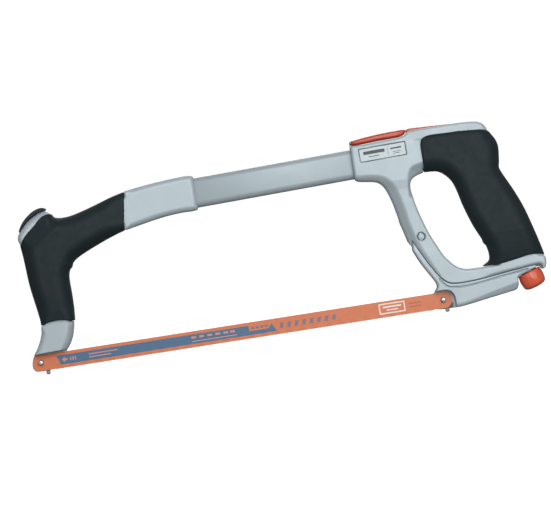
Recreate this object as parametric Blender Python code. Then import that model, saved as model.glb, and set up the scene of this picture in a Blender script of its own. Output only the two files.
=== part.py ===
"""A hacksaw with a cast D handle, a tube frame, a tension lever and a 300 mm blade.

Everything is drawn in millimetres about the front blade pin: x runs along the blade towards the handle,
y through the saw's thickness and z up. One empty then moves it all, so that the part's own origin is the
middle of its box's bottom face.
"""

import math

import bmesh
import bpy
from mathutils import Matrix, Vector

MM = 0.001
GAP = 0.3

# The saw's outermost points, which place its origin.
FRONT_END = -6.9
REAR_END = 379.0
LOWEST = -9.5

# Blade: the distance between its two holes sets the whole saw's size.
BLADE_HOLES = 300.0
BLADE_END = 6.0
BLADE_TOP = 5.6
BLADE_TEETH = -6.9
BLADE_THICK = 0.65
BLADE_HOLE_R = 2.1
BLADE_PIN_R = 1.8
BLADE_PIN_FRONT = -4.4
BLADE_PIN_BACK = 6.8
SEAT_Y = BLADE_THICK / 2 + GAP

# Pins for the tilted blade: where each leaves its slanted face.
ANGLE_PIN_TILT = math.radians(55)
ANGLE_PIN_R = 1.6
ANGLE_PIN_Y, ANGLE_PIN_Z = 4.2, -5.5
ANGLE_PIN_OUT, ANGLE_PIN_IN = 4.18, 2.1
FRONT_ANGLE_PIN_X, REAR_ANGLE_PIN_X = 4.0, 302.0

# Tube: an upright rounded box section, which rises a little towards the handle.
TUBE_START, TUBE_END = 98.0, 286.0
TUBE_Z, TUBE_RISE = 105.8, 0.0244
TUBE_AT = 131.0
TUBE_HALF_HEIGHT, TUBE_HALF_WIDTH = 10.9, 6.5
TUBE_CORNER, TUBE_WALL = 4.5, 1.2
TUBE_SCREW_R = 2.0
FRONT_SCREW_X, REAR_SCREW_X = 112.0, 256.0

# Blade store: the well under the lid.
WELL_START, WELL_END, WELL_HALF_WIDTH = 258.0, 288.0, 4.5

# Lid and its hinge.
LID_HINGE = (250.8, 124.0)
LID_PIN_R, LID_NUB_R = 0.8, 1.7
LID_HALF_WIDTH, LID_LUG_HALF_WIDTH = 7.6, 4.2

# Lever pivot, and the web of the lever that runs in the handle's channel.
PIVOT = (290.7, 48.4)
PIVOT_PIN_R, PIVOT_BORE_R = 2.3, 2.8
WEB_HALF_WIDTH, WEB_HEAD_R = 3.6, 4.6
CHANNEL_HALF_WIDTH, CHANNEL_HEAD_R = 4.0, 5.1

# Tension screw: its axis leans back as it runs down, and lengths along it start from this point.
SCREW_FOOT = (365.3, 10.75)
SCREW_LEAN = math.radians(18.3)
SCREW_R, SCREW_BORE_R = 2.7, 3.3
SCREW_TOP, SCREW_HEAD = 44.0, -4.4
SCREW_HEAD_R = 5.2
KNOB_R, KNOB_HEIGHT, KNOB_CHAMFER = 9.3, 12.6, 1.2
WASHER_R, WASHER_LOW, WASHER_HIGH = 6.5, 0.3, 1.3
TONGUE_CLEAR = 1.8
NUT_R, NUT_HALF_WIDTH, NUT_UP = 6.0, 9.0, 24.5

# Label plate in its recess.
LABEL_CORNERS = [(255.2, 109.1), (289.3, 109.9), (289.1, 119.3), (255.0, 118.6)]
LABEL_RECESS = 1.0
CHEEK_Y = 10.9

# Ribs of the lofted castings and rubbers: two ends (x, z) on the outline, then the half thickness.
TOP_BEAM = [
    (249.2, 97.4, 249.2, 121.0, 9.6), (250.4, 95.9, 250.4, 121.9, CHEEK_Y),
    (252.4, 95.2, 252.4, 121.9, CHEEK_Y), (259.0, 94.1, 259.0, 121.7, CHEEK_Y),
    (264.0, 92.7, 266.0, 122.2, CHEEK_Y), (272.0, 89.0, 274.0, 122.6, CHEEK_Y),
    (282.0, 88.0, 284.0, 122.8, CHEEK_Y), (289.2, 89.8, 289.6, 123.4, CHEEK_Y),
    (292.0, 92.2, 292.0, 124.9, CHEEK_Y), (295.4, 93.7, 295.4, 126.2, CHEEK_Y),
    (299.6, 94.7, 299.6, 126.8, CHEEK_Y),
]
TOP_RIDGE = [
    (290.0, 112.0, 290.0, 123.2, 8.5), (299.0, 114.0, 299.0, 126.6, 8.5),
    (325.0, 114.0, 325.0, 126.9, 8.5), (335.0, 114.0, 335.0, 126.7, 8.2),
    (341.5, 114.0, 343.0, 126.0, 7.6), (344.0, 114.0, 347.2, 124.2, 7.0),
    (346.0, 113.0, 349.6, 121.6, 6.4), (347.0, 111.0, 351.0, 118.8, 5.6),
]
GRIP_CORE = [
    (292.0, 97.4, 292.0, 118.7, 10.3), (303.0, 97.4, 302.0, 118.7, 11.0),
    (309.5, 96.8, 311.0, 118.7, 11.5), (314.5, 94.7, 323.0, 118.7, 12.0),
    (318.2, 91.8, 335.0, 118.5, 12.2), (321.2, 88.2, 348.4, 115.4, 12.2),
    (322.9, 84.8, 353.6, 106.0, 12.2), (324.0, 80.6, 353.3, 97.0, 12.2),
    (325.5, 75.4, 352.6, 89.5, 12.2), (327.6, 67.2, 356.4, 80.5, 12.2),
    (330.2, 59.3, 361.0, 70.8, 12.2), (333.2, 51.2, 364.8, 61.8, 12.2),
    (337.4, 41.2, 369.2, 48.2, 12.0), (340.2, 32.6, 372.2, 38.0, 11.4),
    (340.8, 25.0, 374.4, 29.0, 10.6), (340.6, 16.6, 374.8, 19.4, 9.6),
]
ARM_AND_POST = [
    (378.9, 19.2, 378.9, 15.2, 8.0), (377.6, 21.0, 377.8, 12.4, 10.2), (375.6, 22.2, 375.6, 11.2, 10.5),
    (374.9, 22.4, 374.9, 14.9, 10.5), (371.5, 22.9, 371.5, 15.3, 10.5),
    (366.0, 22.8, 366.0, 15.1, 10.5), (360.0, 21.8, 360.0, 14.5, 10.5),
    (350.0, 20.0, 350.0, 13.6, 10.5), (340.0, 18.6, 340.0, 12.4, 10.5),
    (331.0, 19.3, 331.0, 11.5, 10.5), (322.0, 19.7, 320.0, 10.8, 10.5),
    (316.6, 21.0, 312.0, 10.9, 10.4), (311.4, 24.2, 307.0, 11.7, 10.3),
    (307.0, 29.0, 303.2, 14.0, 10.2), (303.2, 35.2, 299.2, 18.4, 10.1),
    (301.0, 40.2, 295.4, 24.4, 10.0), (298.9, 45.0, 291.4, 30.8, 9.9), (297.4, 48.6, 286.4, 40.0, 9.8),
    (296.2, 52.0, 284.8, 46.4, 9.7), (295.9, 52.8, 280.1, 47.6, 9.7), (293.9, 59.0, 277.5, 57.0, 9.7),
    (291.9, 66.0, 275.9, 66.0, 9.8), (290.2, 73.4, 274.4, 74.0, 9.9), (289.2, 80.0, 272.7, 80.6, 10.0),
    (288.7, 85.4, 270.4, 86.8, 10.2), (288.9, 91.0, 266.8, 92.6, 10.4),
    (288.4, 99.0, 266.0, 99.0, 10.4),
]
REAR_RUBBER = [
    (300.3, 95.2, 300.1, 115.6, 13.4), (301.4, 95.0, 301.2, 119.0, 13.8),
    (304.2, 94.9, 304.0, 120.9, 14.4), (309.0, 94.5, 311.0, 121.3, 15.0),
    (313.4, 92.6, 323.0, 121.1, 15.4), (316.8, 89.6, 335.5, 120.7, 15.5),
    (319.2, 86.2, 350.6, 118.6, 15.5), (320.8, 82.8, 356.4, 109.2, 15.5),
    (321.9, 79.2, 356.9, 102.4, 15.5), (322.8, 75.8, 356.2, 95.6, 15.5),
    (324.2, 70.4, 355.2, 89.6, 15.6), (326.0, 63.6, 359.4, 80.2, 15.8),
    (328.6, 55.6, 364.2, 69.8, 16.0), (331.4, 48.2, 368.4, 60.0, 16.0),
    (335.0, 39.8, 372.2, 47.6, 15.6), (337.5, 33.6, 374.9, 37.2, 14.8),
    (338.4, 27.0, 377.0, 28.4, 13.8), (337.9, 22.4, 378.2, 23.4, 12.8),
    (334.0, 20.6, 378.8, 20.6, 12.0), (331.6, 16.0, 378.0, 17.0, 11.8),
]
RIM_EDGE = [
    (328.0, 19.7), (332.0, 19.6), (337.0, 18.9), (340.0, 18.9), (350.0, 20.3), (360.0, 22.1),
    (366.0, 23.1), (371.5, 23.2), (375.6, 22.5), (377.8, 21.3), (381.0, 19.2),
]
BOW_ARM = [
    (132.0, 94.4, 131.4, 118.0, 8.4), (130.8, 93.3, 130.0, 119.1, 9.0),
    (120.0, 93.1, 119.5, 119.1, 9.2), (110.0, 92.5, 109.5, 118.4, 9.4), (100.0, 91.2, 99.0, 117.5, 9.6),
    (90.0, 89.4, 88.6, 116.4, 9.9), (82.0, 87.9, 81.8, 115.3, 10.2), (76.5, 86.9, 80.0, 115.0, 10.4),
    (76.0, 89.6, 79.5, 112.2, 10.4), (69.0, 87.2, 71.0, 110.3, 10.8), (59.0, 83.8, 61.0, 107.0, 11.2),
    (50.0, 80.3, 51.5, 103.8, 11.4), (42.0, 76.6, 42.5, 101.4, 11.6), (34.0, 72.0, 32.0, 100.4, 11.6),
    (22.0, 72.0, 20.0, 99.0, 11.4),
]
BOW_POST = [
    (5.0, 102.8, 13.0, 108.2, 6.4), (0.6, 98.1, 19.8, 109.8, 8.6), (-2.4, 94.4, 22.2, 107.9, 10.0),
    (-2.1, 90.0, 22.7, 107.2, 10.4), (0.7, 88.6, 23.6, 104.6, 10.4), (1.3, 83.0, 31.0, 95.0, 11.4),
    (1.9, 76.0, 32.4, 76.0, 11.6), (2.3, 68.0, 29.6, 67.0, 11.6), (2.9, 60.0, 27.4, 60.0, 11.4),
    (4.1, 50.0, 27.2, 50.0, 11.2), (5.6, 40.0, 27.6, 41.0, 10.8), (6.8, 30.4, 26.9, 30.4, 10.2),
    (7.0, 26.9, 26.4, 26.9, 10.0), (4.9, 26.0, 28.3, 26.5, 10.0), (3.7, 20.6, 27.4, 20.2, 9.8),
    (1.6, 15.2, 25.7, 14.4, 9.6), (-1.1, 10.3, 23.0, 9.4, 9.4), (-4.1, 6.2, 19.4, 5.4, 9.3),
    (-6.1, 2.4, 16.0, 1.4, 9.2), (FRONT_END, -1.6, 12.2, -2.4, 9.2), (-6.6, -4.4, 9.0, -4.9, 9.2),
    (-5.0, -6.4, 6.8, -6.4, 9.0), (-3.4, -7.0, 5.2, -7.0, 8.6),
]
FRONT_RUBBER_ARM = [
    (76.2, 87.0, 79.7, 114.7, 12.0), (70.0, 84.7, 72.0, 113.0, 12.8), (60.0, 81.4, 61.5, 109.8, 13.8),
    (50.0, 77.6, 51.5, 106.7, 14.6), (42.0, 74.0, 43.0, 104.4, 15.0), (35.4, 70.2, 35.0, 103.3, 15.0),
    (24.0, 70.0, 26.6, 103.9, 14.6), (12.0, 74.0, 22.9, 106.8, 13.0),
]
FRONT_RUBBER_POST = [
    (-1.8, 88.7, 23.4, 106.4, 12.6), (-1.5, 84.0, 29.0, 103.3, 14.2), (-0.9, 78.0, 35.0, 90.0, 15.0),
    (-0.4, 71.0, 34.9, 69.9, 15.2), (0.1, 62.0, 30.8, 63.4, 15.2), (0.9, 54.0, 29.9, 55.0, 15.0),
    (2.2, 45.0, 30.1, 46.0, 14.6), (3.7, 36.0, 30.0, 37.0, 13.8), (4.6, 30.0, 29.2, 30.6, 12.8),
    (4.9, 27.2, 28.8, 27.2, 12.0),
]
LEVER = [
    (284.3, 44.7, 281.0, 46.0, 7.8), (284.6, 42.6, 281.9, 42.6, 8.4), (286.9, 37.4, 283.9, 37.0, 8.8),
    (290.8, 30.0, 286.8, 30.0, 9.0), (294.9, 23.8, 290.3, 23.6, 9.1), (298.6, 17.8, 294.3, 16.8, 9.2),
    (301.0, 15.0, 296.8, 11.0, 9.3), (302.7, 13.1, 296.2, 8.8, 9.3), (303.7, 12.2, 293.4, 5.4, 9.3),
]
LEVER_FOOT = [
    (293.2, 5.6, 293.2, -5.6, 9.1), (296.2, 8.9, 295.6, -6.6, 9.3), (299.6, 11.4, 299.6, -7.2, 9.4),
    (304.8, 11.6, 305.0, -7.3, 9.5), (310.0, 10.3, 311.0, -7.0, 9.6), (320.0, 10.1, 320.4, -6.0, 9.6),
    (330.0, 10.7, 330.4, -4.5, 9.6), (340.0, 11.7, 340.2, -3.1, 9.6), (350.0, 12.9, 350.4, -1.7, 9.6),
    (354.0, 13.2, 354.0, -1.0, 9.5), (355.2, 13.3, 355.2, 0.2, 9.3), (355.6, 13.3, 355.6, 9.2, 8.8),
    (357.5, 13.5, 357.5, 10.1, 8.2), (362.0, 14.0, 362.0, 11.6, 8.0), (366.0, 14.4, 366.0, 12.9, 7.8),
    (370.2, 14.8, 370.2, 14.0, 7.0),
]


def clear_scene():
    for obj in list(bpy.data.objects):
        bpy.data.objects.remove(obj)


def empty(name, at, parent=None, lean=0.0):
    """An empty at (x, z), leaning about y, that carries what is parented to it."""
    obj = bpy.data.objects.new(name, None)
    bpy.context.scene.collection.objects.link(obj)
    obj.parent = parent
    obj.location = (at[0] * MM, 0, at[1] * MM)
    obj.rotation_euler = (0, lean, 0)
    obj.empty_display_size = 0.01
    return obj


def material(name, colour, metallic, roughness):
    mat = bpy.data.materials.new(name)
    mat.use_nodes = True
    shader = mat.node_tree.nodes["Principled BSDF"]
    shader.inputs["Base Color"].default_value = (*colour, 1)
    shader.inputs["Metallic"].default_value = metallic
    shader.inputs["Roughness"].default_value = roughness
    mat.diffuse_color = (*colour, 1)
    return mat


def finished(bm):
    """The bmesh as a mesh in metres, faces out, shaded smooth."""
    bmesh.ops.recalc_face_normals(bm, faces=bm.faces)
    bmesh.ops.scale(bm, vec=(MM, MM, MM), verts=bm.verts)
    mesh = bpy.data.meshes.new("solid")
    bm.to_mesh(mesh)
    bm.free()
    mesh.shade_smooth()
    mesh.set_sharp_from_angle(angle=math.radians(35))
    return mesh


def add(name, mesh, mat, parent, origin=(0.0, 0.0)):
    """An object for a mesh drawn in the saw's own place, with its origin moved to the parent's (x, z)."""
    mesh.transform(Matrix.Translation((-origin[0] * MM, 0, -origin[1] * MM)))
    obj = bpy.data.objects.new(name, mesh)
    bpy.context.scene.collection.objects.link(obj)
    obj.parent = parent
    mesh.materials.append(mat)
    return obj


def helper(name, mesh, parent, origin=(0.0, 0.0)):
    """A cutter or a joined shape, which is no part of its own."""
    obj = add(name, mesh, MATERIALS["helper"], parent, origin)
    obj.hide_render = True
    obj.display_type = "WIRE"
    return obj


def boolean(obj, other, operation):
    modifier = obj.modifiers.new(other.name, "BOOLEAN")
    modifier.object = other
    modifier.operation = operation
    modifier.solver = "EXACT"


def join(obj, *others):
    for other in others:
        boolean(obj, other, "UNION")


def cut(obj, *others):
    for other in others:
        boolean(obj, other, "DIFFERENCE")


def rounded_section(half_length, half_width, radius, steps=2):
    """A rounded rectangle as (along, across) points, going round once."""
    r = min(radius, 0.92 * half_length, 0.92 * half_width)
    points = []
    for quarter in range(4):
        sign_u, sign_v = ((1, 1), (-1, 1), (-1, -1), (1, -1))[quarter]
        for step in range(steps + 1):
            angle = math.radians(90 * (quarter + step / steps))
            u = sign_u * (half_length - r) + r * math.cos(angle)
            v = sign_v * (half_width - r) + r * math.sin(angle)
            points.append((u, v))
    return points


def bridged(bm, loops):
    """Faces between loops of vertices with equal counts, and a face over each end."""
    count = len(loops[0])
    for first, second in zip(loops, loops[1:]):
        for i in range(count):
            j = (i + 1) % count
            bm.faces.new((first[i], first[j], second[j], second[i]))
    bm.faces.new(loops[0])
    bm.faces.new(list(reversed(loops[-1])))


def loft(ribs, radius, grow=0.0):
    """A solid skinned over ribs (ax, az, bx, bz, half thickness), each a rounded section from a to b."""
    bm = bmesh.new()
    loops = []
    for ax, az, bx, bz, half in ribs:
        a, b = Vector((ax, 0, az)), Vector((bx, 0, bz))
        middle, along = (a + b) / 2, (b - a).normalized()
        half_length = (b - a).length / 2 + grow
        section = rounded_section(half_length, half + grow, radius + grow)
        loops.append([bm.verts.new(middle + u * along + Vector((0, v, 0))) for u, v in section])
    bridged(bm, loops)
    return finished(bm)


def slab(outline, y_low, y_high):
    """An outline of (x, z) points, extruded through the thickness."""
    bm = bmesh.new()
    loops = [[bm.verts.new((x, y, z)) for x, z in outline] for y in (y_low, y_high)]
    bridged(bm, loops)
    return finished(bm)


def arc(centre, radius, start, end, steps):
    """Points on an arc, from one angle in degrees to another."""
    points = []
    for step in range(steps + 1):
        angle = math.radians(start + (end - start) * step / steps)
        points.append((centre[0] + radius * math.cos(angle), centre[1] + radius * math.sin(angle)))
    return points


def circle(centre, radius, steps=20):
    return arc(centre, radius, 0, 360 - 360 / steps, steps - 1)


def turned(profile, steps=24):
    """A profile of (radius, height) points turned round the z axis, closed at both ends."""
    bm = bmesh.new()
    loops = []
    for radius, height in profile:
        loops.append([bm.verts.new((x, y, height)) for x, y in circle((0, 0), radius, steps)])
    bridged(bm, loops)
    return finished(bm)


def ring(outer, inner, low, high, steps=24):
    """A washer or a bored bush round the z axis."""
    bm = bmesh.new()
    corners = ((outer, low), (outer, high), (inner, high), (inner, low))
    loops = [[bm.verts.new((x, y, h)) for x, y in circle((0, 0), r, steps)] for r, h in corners]
    for first, second in zip(loops, loops[1:] + loops[:1]):
        for i in range(steps):
            j = (i + 1) % steps
            bm.faces.new((first[i], first[j], second[j], second[i]))
    return finished(bm)


def tube_section(grow):
    """The tube's outline in (z, y) about its axis."""
    return rounded_section(TUBE_HALF_HEIGHT + grow, TUBE_HALF_WIDTH + grow, TUBE_CORNER + grow)


def tube_axis_z(x):
    return TUBE_Z + (x - TUBE_AT) * TUBE_RISE


def tube_solid(start, end, grow):
    bm = bmesh.new()
    loops = []
    for x in (start, end):
        section = tube_section(grow)
        loops.append([bm.verts.new((x, v, tube_axis_z(x) + u)) for u, v in section])
    bridged(bm, loops)
    return finished(bm)


def upright_pin(x, low, high, radius):
    """A plain vertical cylinder at x in the saw's middle plane."""
    mesh = turned([(radius, low), (radius, high)], steps=16)
    mesh.transform(Matrix.Translation((x * MM, 0, 0)))
    return mesh


def angled(mesh, x):
    """Turns a mesh drawn along z so that z points out of the slanted face that the tilted blade rests on."""
    mesh.transform(Matrix.Rotation(math.pi - (math.pi / 2 - ANGLE_PIN_TILT), 4, "X"))
    mesh.transform(Matrix.Translation((x * MM, ANGLE_PIN_Y * MM, ANGLE_PIN_Z * MM)))
    return mesh


def angle_pin(x):
    profile = [
        (ANGLE_PIN_R, -ANGLE_PIN_IN),
        (ANGLE_PIN_R, ANGLE_PIN_OUT - 0.6),
        (ANGLE_PIN_R - 0.6, ANGLE_PIN_OUT),
    ]
    return angled(turned(profile, steps=16), x)


def angle_pin_bore(x):
    radius = ANGLE_PIN_R + GAP
    return angled(turned([(radius, -ANGLE_PIN_IN - GAP), (radius, ANGLE_PIN_OUT + 4)], steps=16), x)


def blade_pin(x):
    """A plain pin that stands out through the blade, on the side with the label."""
    return slab(circle((x, 0), BLADE_PIN_R), BLADE_PIN_FRONT, BLADE_PIN_BACK)


def slanted_underside(x_low, x_high):
    """The cutter that leaves the slanted face under a blade holder."""
    bm = bmesh.new()
    fall = math.tan(math.pi / 2 - ANGLE_PIN_TILT)
    corners = [(-12, -3 + (SEAT_Y + 12) * fall), (12, -3 - (12 - SEAT_Y) * fall), (12, -20), (-12, -20)]
    loops = [[bm.verts.new((x, y, z)) for y, z in corners] for x in (x_low, x_high)]
    bridged(bm, loops)
    return finished(bm)


def pin_holder_cuts(obj, name, x, angle_x, x_low, x_high, origin=(0.0, 0.0)):
    """Bores for the two pins of a blade holder, and its slanted underside."""
    parent = obj.parent
    bore = slab(circle((x, 0), BLADE_PIN_R + GAP), -12, BLADE_PIN_BACK + GAP)
    cut(obj, helper(name + "_pin_bore", bore, parent, origin))
    cut(obj, helper(name + "_slant", slanted_underside(x_low, x_high), parent, origin))
    cut(obj, helper(name + "_angle_bore", angle_pin_bore(angle_x), parent, origin))


def front_bow(root):
    bow = add("front_bow", loft(BOW_ARM, 5.0), MATERIALS["casting"], root)
    join(bow, helper("bow_post", loft(BOW_POST, 4.0), root))
    cut(bow, helper("bow_tube_socket", tube_solid(TUBE_START - GAP, 140, GAP), root))
    cut(bow, helper("bow_screw_bore", upright_pin(FRONT_SCREW_X, 85, 97, TUBE_SCREW_R + GAP), root))
    seat = [(-20, -20), (30, -20), (30, 6.9), (19, 6.9), (10, 6.6), (-6, 6.0), (-20, 6.0)]
    cut(bow, helper("bow_seat", slab(seat, -20, SEAT_Y), root))
    pin_holder_cuts(bow, "bow", 0, FRONT_ANGLE_PIN_X, -12, 30)


def front_grip(root):
    grip = add("front_grip", loft(FRONT_RUBBER_ARM, 7.5), MATERIALS["rubber"], root)
    join(grip, helper("grip_post", loft(FRONT_RUBBER_POST, 7.0), root))
    cut(grip, helper("grip_arm_core", loft(BOW_ARM, 5.0, GAP), root))
    cut(grip, helper("grip_post_core", loft(BOW_POST, 4.0, GAP), root))


def nose_pad(root):
    outline = [
        (20.9, 110.7), (19.6, 112.2), (16.8, 112.6), (12.6, 111.6), (8.6, 109.4), (4.2, 105.8),
        (1.0, 101.9), (-0.9, 98.4), (-1.2, 96.9), (0.2, 98.8), (4.6, 103.5), (12.8, 108.9), (19.6, 110.5),
    ]
    add("nose_pad", slab(outline, -7.0, 7.0), MATERIALS["rubber"], root)


def top_tube(root):
    tube = add("top_tube", tube_solid(TUBE_START, TUBE_END, 0), MATERIALS["casting"], root)
    bore = tube_solid(TUBE_START - 5, TUBE_END + 5, -TUBE_WALL)
    mouth = [(WELL_START, 112), (WELL_END + 5, 112), (WELL_END + 5, 130), (WELL_START, 130)]
    cut(tube, helper("tube_bore", bore, root))
    cut(tube, helper("tube_mouth", slab(mouth, -WELL_HALF_WIDTH, WELL_HALF_WIDTH), root))
    for x in (FRONT_SCREW_X, REAR_SCREW_X):
        cut(tube, helper("tube_screw_bore", upright_pin(x, 85, 101, TUBE_SCREW_R + GAP), root))


def tube_screws(root):
    places = (("front_tube_screw", FRONT_SCREW_X, 92.9), ("rear_tube_screw", REAR_SCREW_X, 95.3))
    for name, x, low in places:
        high = tube_axis_z(x) - TUBE_HALF_HEIGHT + TUBE_WALL
        add(name, upright_pin(x, low, high, TUBE_SCREW_R), MATERIALS["steel"], root)


def along_screw(mesh):
    """Turns a mesh drawn along z onto the tension screw's axis, in the saw's own place."""
    mesh.transform(Matrix.Rotation(-SCREW_LEAN, 4, "Y"))
    mesh.transform(Matrix.Translation((SCREW_FOOT[0] * MM, 0, SCREW_FOOT[1] * MM)))
    return mesh


def nut_place():
    """The barrel nut's centre, up the screw's axis from its foot."""
    return (SCREW_FOOT[0] - NUT_UP * math.sin(SCREW_LEAN), SCREW_FOOT[1] + NUT_UP * math.cos(SCREW_LEAN))


def handle_frame(root):
    frame = add("handle_frame", loft(TOP_BEAM, 2.2), MATERIALS["casting"], root)
    join(
        frame,
        helper("frame_ridge", loft(TOP_RIDGE, 3.0), root),
        helper("frame_core", loft(GRIP_CORE, 5.0), root),
        helper("frame_arm", loft(ARM_AND_POST, 3.0), root),
        helper("frame_lug", hinge_lug(), root),
    )
    well = [(WELL_START, 112), (WELL_END, 112), (WELL_END, 130), (WELL_START, 130)]
    thread_bore = [(SCREW_BORE_R, -8), (SCREW_BORE_R, SCREW_TOP + 2)]
    cut(
        frame,
        helper("frame_tube_socket", tube_solid(240, TUBE_END + GAP, GAP), root),
        helper("frame_well", slab(well, -WELL_HALF_WIDTH, WELL_HALF_WIDTH), root),
        helper("frame_screw_bore", upright_pin(REAR_SCREW_X, 85, 101, TUBE_SCREW_R + GAP), root),
        helper("frame_label", slab(LABEL_CORNERS, -20, LABEL_RECESS - CHEEK_Y), root),
        helper("frame_inlay", slab(inlay_outline(GAP), -6.3, 6.3), root),
        helper("frame_channel", slab(channel_outline(), -CHANNEL_HALF_WIDTH, CHANNEL_HALF_WIDTH), root),
        helper("frame_pivot_bore", slab(circle(PIVOT, PIVOT_BORE_R), -20, 20), root),
        helper("frame_lid_bore", slab(circle(LID_HINGE, LID_PIN_R + GAP, 12), -20, 20), root),
        helper("frame_thread_bore", along_screw(turned(thread_bore)), root),
        helper("frame_nut_bore", slab(circle(nut_place(), NUT_R + GAP, 24), -20, 20), root),
    )


def hinge_lug():
    x, z = LID_HINGE
    outline = arc(LID_HINGE, 1.7, 0, 180, 6) + [(x - 1.7, z - 6), (x + 1.7, z - 6)]
    return slab(outline, -LID_LUG_HALF_WIDTH, LID_LUG_HALF_WIDTH)


def channel_outline():
    """The slot in the post and the arm for the lever's web, open towards the lever."""
    left = PIVOT[0] - CHANNEL_HEAD_R
    head = arc(PIVOT, CHANNEL_HEAD_R, 180, 0, 10)
    return head + [(296.0, 45.0), (296.8, 38.0), (298.8, 30.0), (301.8, 22.0), (305.6, 14.4), (308.6, 10.6),
                   (308.6, 4.0), (284.0, 4.0), (275.0, 30.0), (278.0, 45.2), (left, 45.2)]


def web_outline():
    """The lever's thin upper part, which runs in the channel and turns on the pivot pin."""
    left = PIVOT[0] - WEB_HEAD_R
    head = arc(PIVOT, WEB_HEAD_R, 180, 0, 10)
    return head + [(295.3, 45.0), (296.2, 38.0), (298.2, 30.0), (301.2, 22.0), (305.0, 14.0), (307.6, 9.0),
                   (302.0, 6.0), (296.0, 16.6), (288.6, 28.8), (284.9, 40.0), (left, 44.2)]


def inlay_outline(grow=0.0):
    """The tapering strip let into the top of the handle, behind the lid."""
    return [(292.6 - grow, 124.2 - grow), (294.6, 128.4 + 9 * grow), (300.0, 128.3 + 9 * grow),
            (310.0, 127.9 + 9 * grow), (320.0, 127.4 + 9 * grow), (327.0 + 2 * grow, 127.0 + 9 * grow),
            (327.0 + 2 * grow, 126.6 - grow), (310.0, 126.0 - grow), (298.0, 125.4 - grow)]


def rear_grip(root):
    grip = add("rear_grip", loft(REAR_RUBBER, 8.0), MATERIALS["rubber"], root)
    below_rim = RIM_EDGE + [(390.0, 10.0), (320.0, 10.0)]
    cut(
        grip,
        helper("grip_core_hollow", loft(GRIP_CORE, 5.0, GAP), root),
        helper("grip_ridge_hollow", loft(TOP_RIDGE, 3.0, GAP), root),
        helper("grip_rim_trim", slab(below_rim, -20, 20), root),
    )


def label_plate(root):
    middle_x = sum(x for x, z in LABEL_CORNERS) / 4
    middle_z = sum(z for x, z in LABEL_CORNERS) / 4
    outline = []
    for x, z in LABEL_CORNERS:
        outline.append((x - math.copysign(GAP, x - middle_x), z - math.copysign(GAP, z - middle_z)))
    plate = slab(outline, 0.1 - CHEEK_Y, LABEL_RECESS - CHEEK_Y - GAP)
    add("label_plate", plate, MATERIALS["label"], root)


def storage_lid(root):
    axis = empty("lid_axis", LID_HINGE, root)
    outline = arc(LID_HINGE, LID_NUB_R, 110, 290, 8) + [
        (254.0, 122.3), (262.0, 122.6), (272.0, 123.1), (282.0, 123.3), (287.0, 123.6), (290.0, 124.6),
        (291.4, 126.2), (291.6, 127.6), (290.4, 128.4), (285.0, 128.4), (277.0, 128.2), (268.0, 127.7),
        (259.0, 126.9), (253.0, 126.1),
    ]
    body = slab(outline, -LID_HALF_WIDTH, LID_HALF_WIDTH)
    lid = add("storage_lid", body, MATERIALS["orange"], axis, LID_HINGE)
    slot = [(245, 118), (253.3, 118), (253.3, 130), (245, 130)]
    half = LID_LUG_HALF_WIDTH + GAP
    cut(
        lid,
        helper("lid_slot", slab(slot, -half, half), axis, LID_HINGE),
        helper("lid_pin_bore", slab(circle(LID_HINGE, LID_PIN_R + GAP, 12), -20, 20), axis, LID_HINGE),
    )
    pin = slab(circle(LID_HINGE, LID_PIN_R, 12), 0.4 - LID_HALF_WIDTH, LID_HALF_WIDTH - 0.4)
    add("lid_hinge_pin", pin, MATERIALS["steel"], root)


def tension_lever(root):
    axis = empty("lever_axis", PIVOT, root)
    lever = add("tension_lever", loft(LEVER_FOOT, 3.0), MATERIALS["casting"], axis, PIVOT)
    web = slab(web_outline(), -WEB_HALF_WIDTH, WEB_HALF_WIDTH)
    join(
        lever,
        helper("lever_leg", loft(LEVER, 3.0), axis, PIVOT),
        helper("lever_web", web, axis, PIVOT),
    )
    seat = (
        [(286, -20), (309.3, -20), (309.3, -1.5)]
        + arc((303.6, 0.1), 5.7, 0, 90, 5)
        + [(294, 6.2), (286, 6.2)]
    )
    cut(
        lever,
        helper("lever_seat", slab(seat, -20, SEAT_Y), axis, PIVOT),
        helper("lever_pivot_bore", slab(circle(PIVOT, PIVOT_PIN_R + GAP), -20, 20), axis, PIVOT),
        helper("lever_fork", fork_slot(), axis, PIVOT),
    )
    pin_holder_cuts(lever, "lever", BLADE_HOLES, REAR_ANGLE_PIN_X, 286, 306.5, PIVOT)
    add("rear_blade_pin", blade_pin(BLADE_HOLES), MATERIALS["steel"], axis, PIVOT)
    add("rear_angle_pin", angle_pin(REAR_ANGLE_PIN_X), MATERIALS["steel"], axis, PIVOT)


def fork_slot():
    """The slot in the lever's tongue that the screw passes through, open at the back."""
    outline = [(360.6, 5), (390, 5), (390, 25), (360.6, 25)]
    return slab(outline, -SCREW_BORE_R - GAP, SCREW_BORE_R + GAP)


def fixed_pins(root):
    pivot_pin = slab(circle(PIVOT, PIVOT_PIN_R), -9.0, 9.0)
    add("lever_pivot_pin", pivot_pin, MATERIALS["steel"], root)
    add("front_blade_pin", blade_pin(0), MATERIALS["steel"], root)
    add("front_angle_pin", angle_pin(FRONT_ANGLE_PIN_X), MATERIALS["steel"], root)


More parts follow.
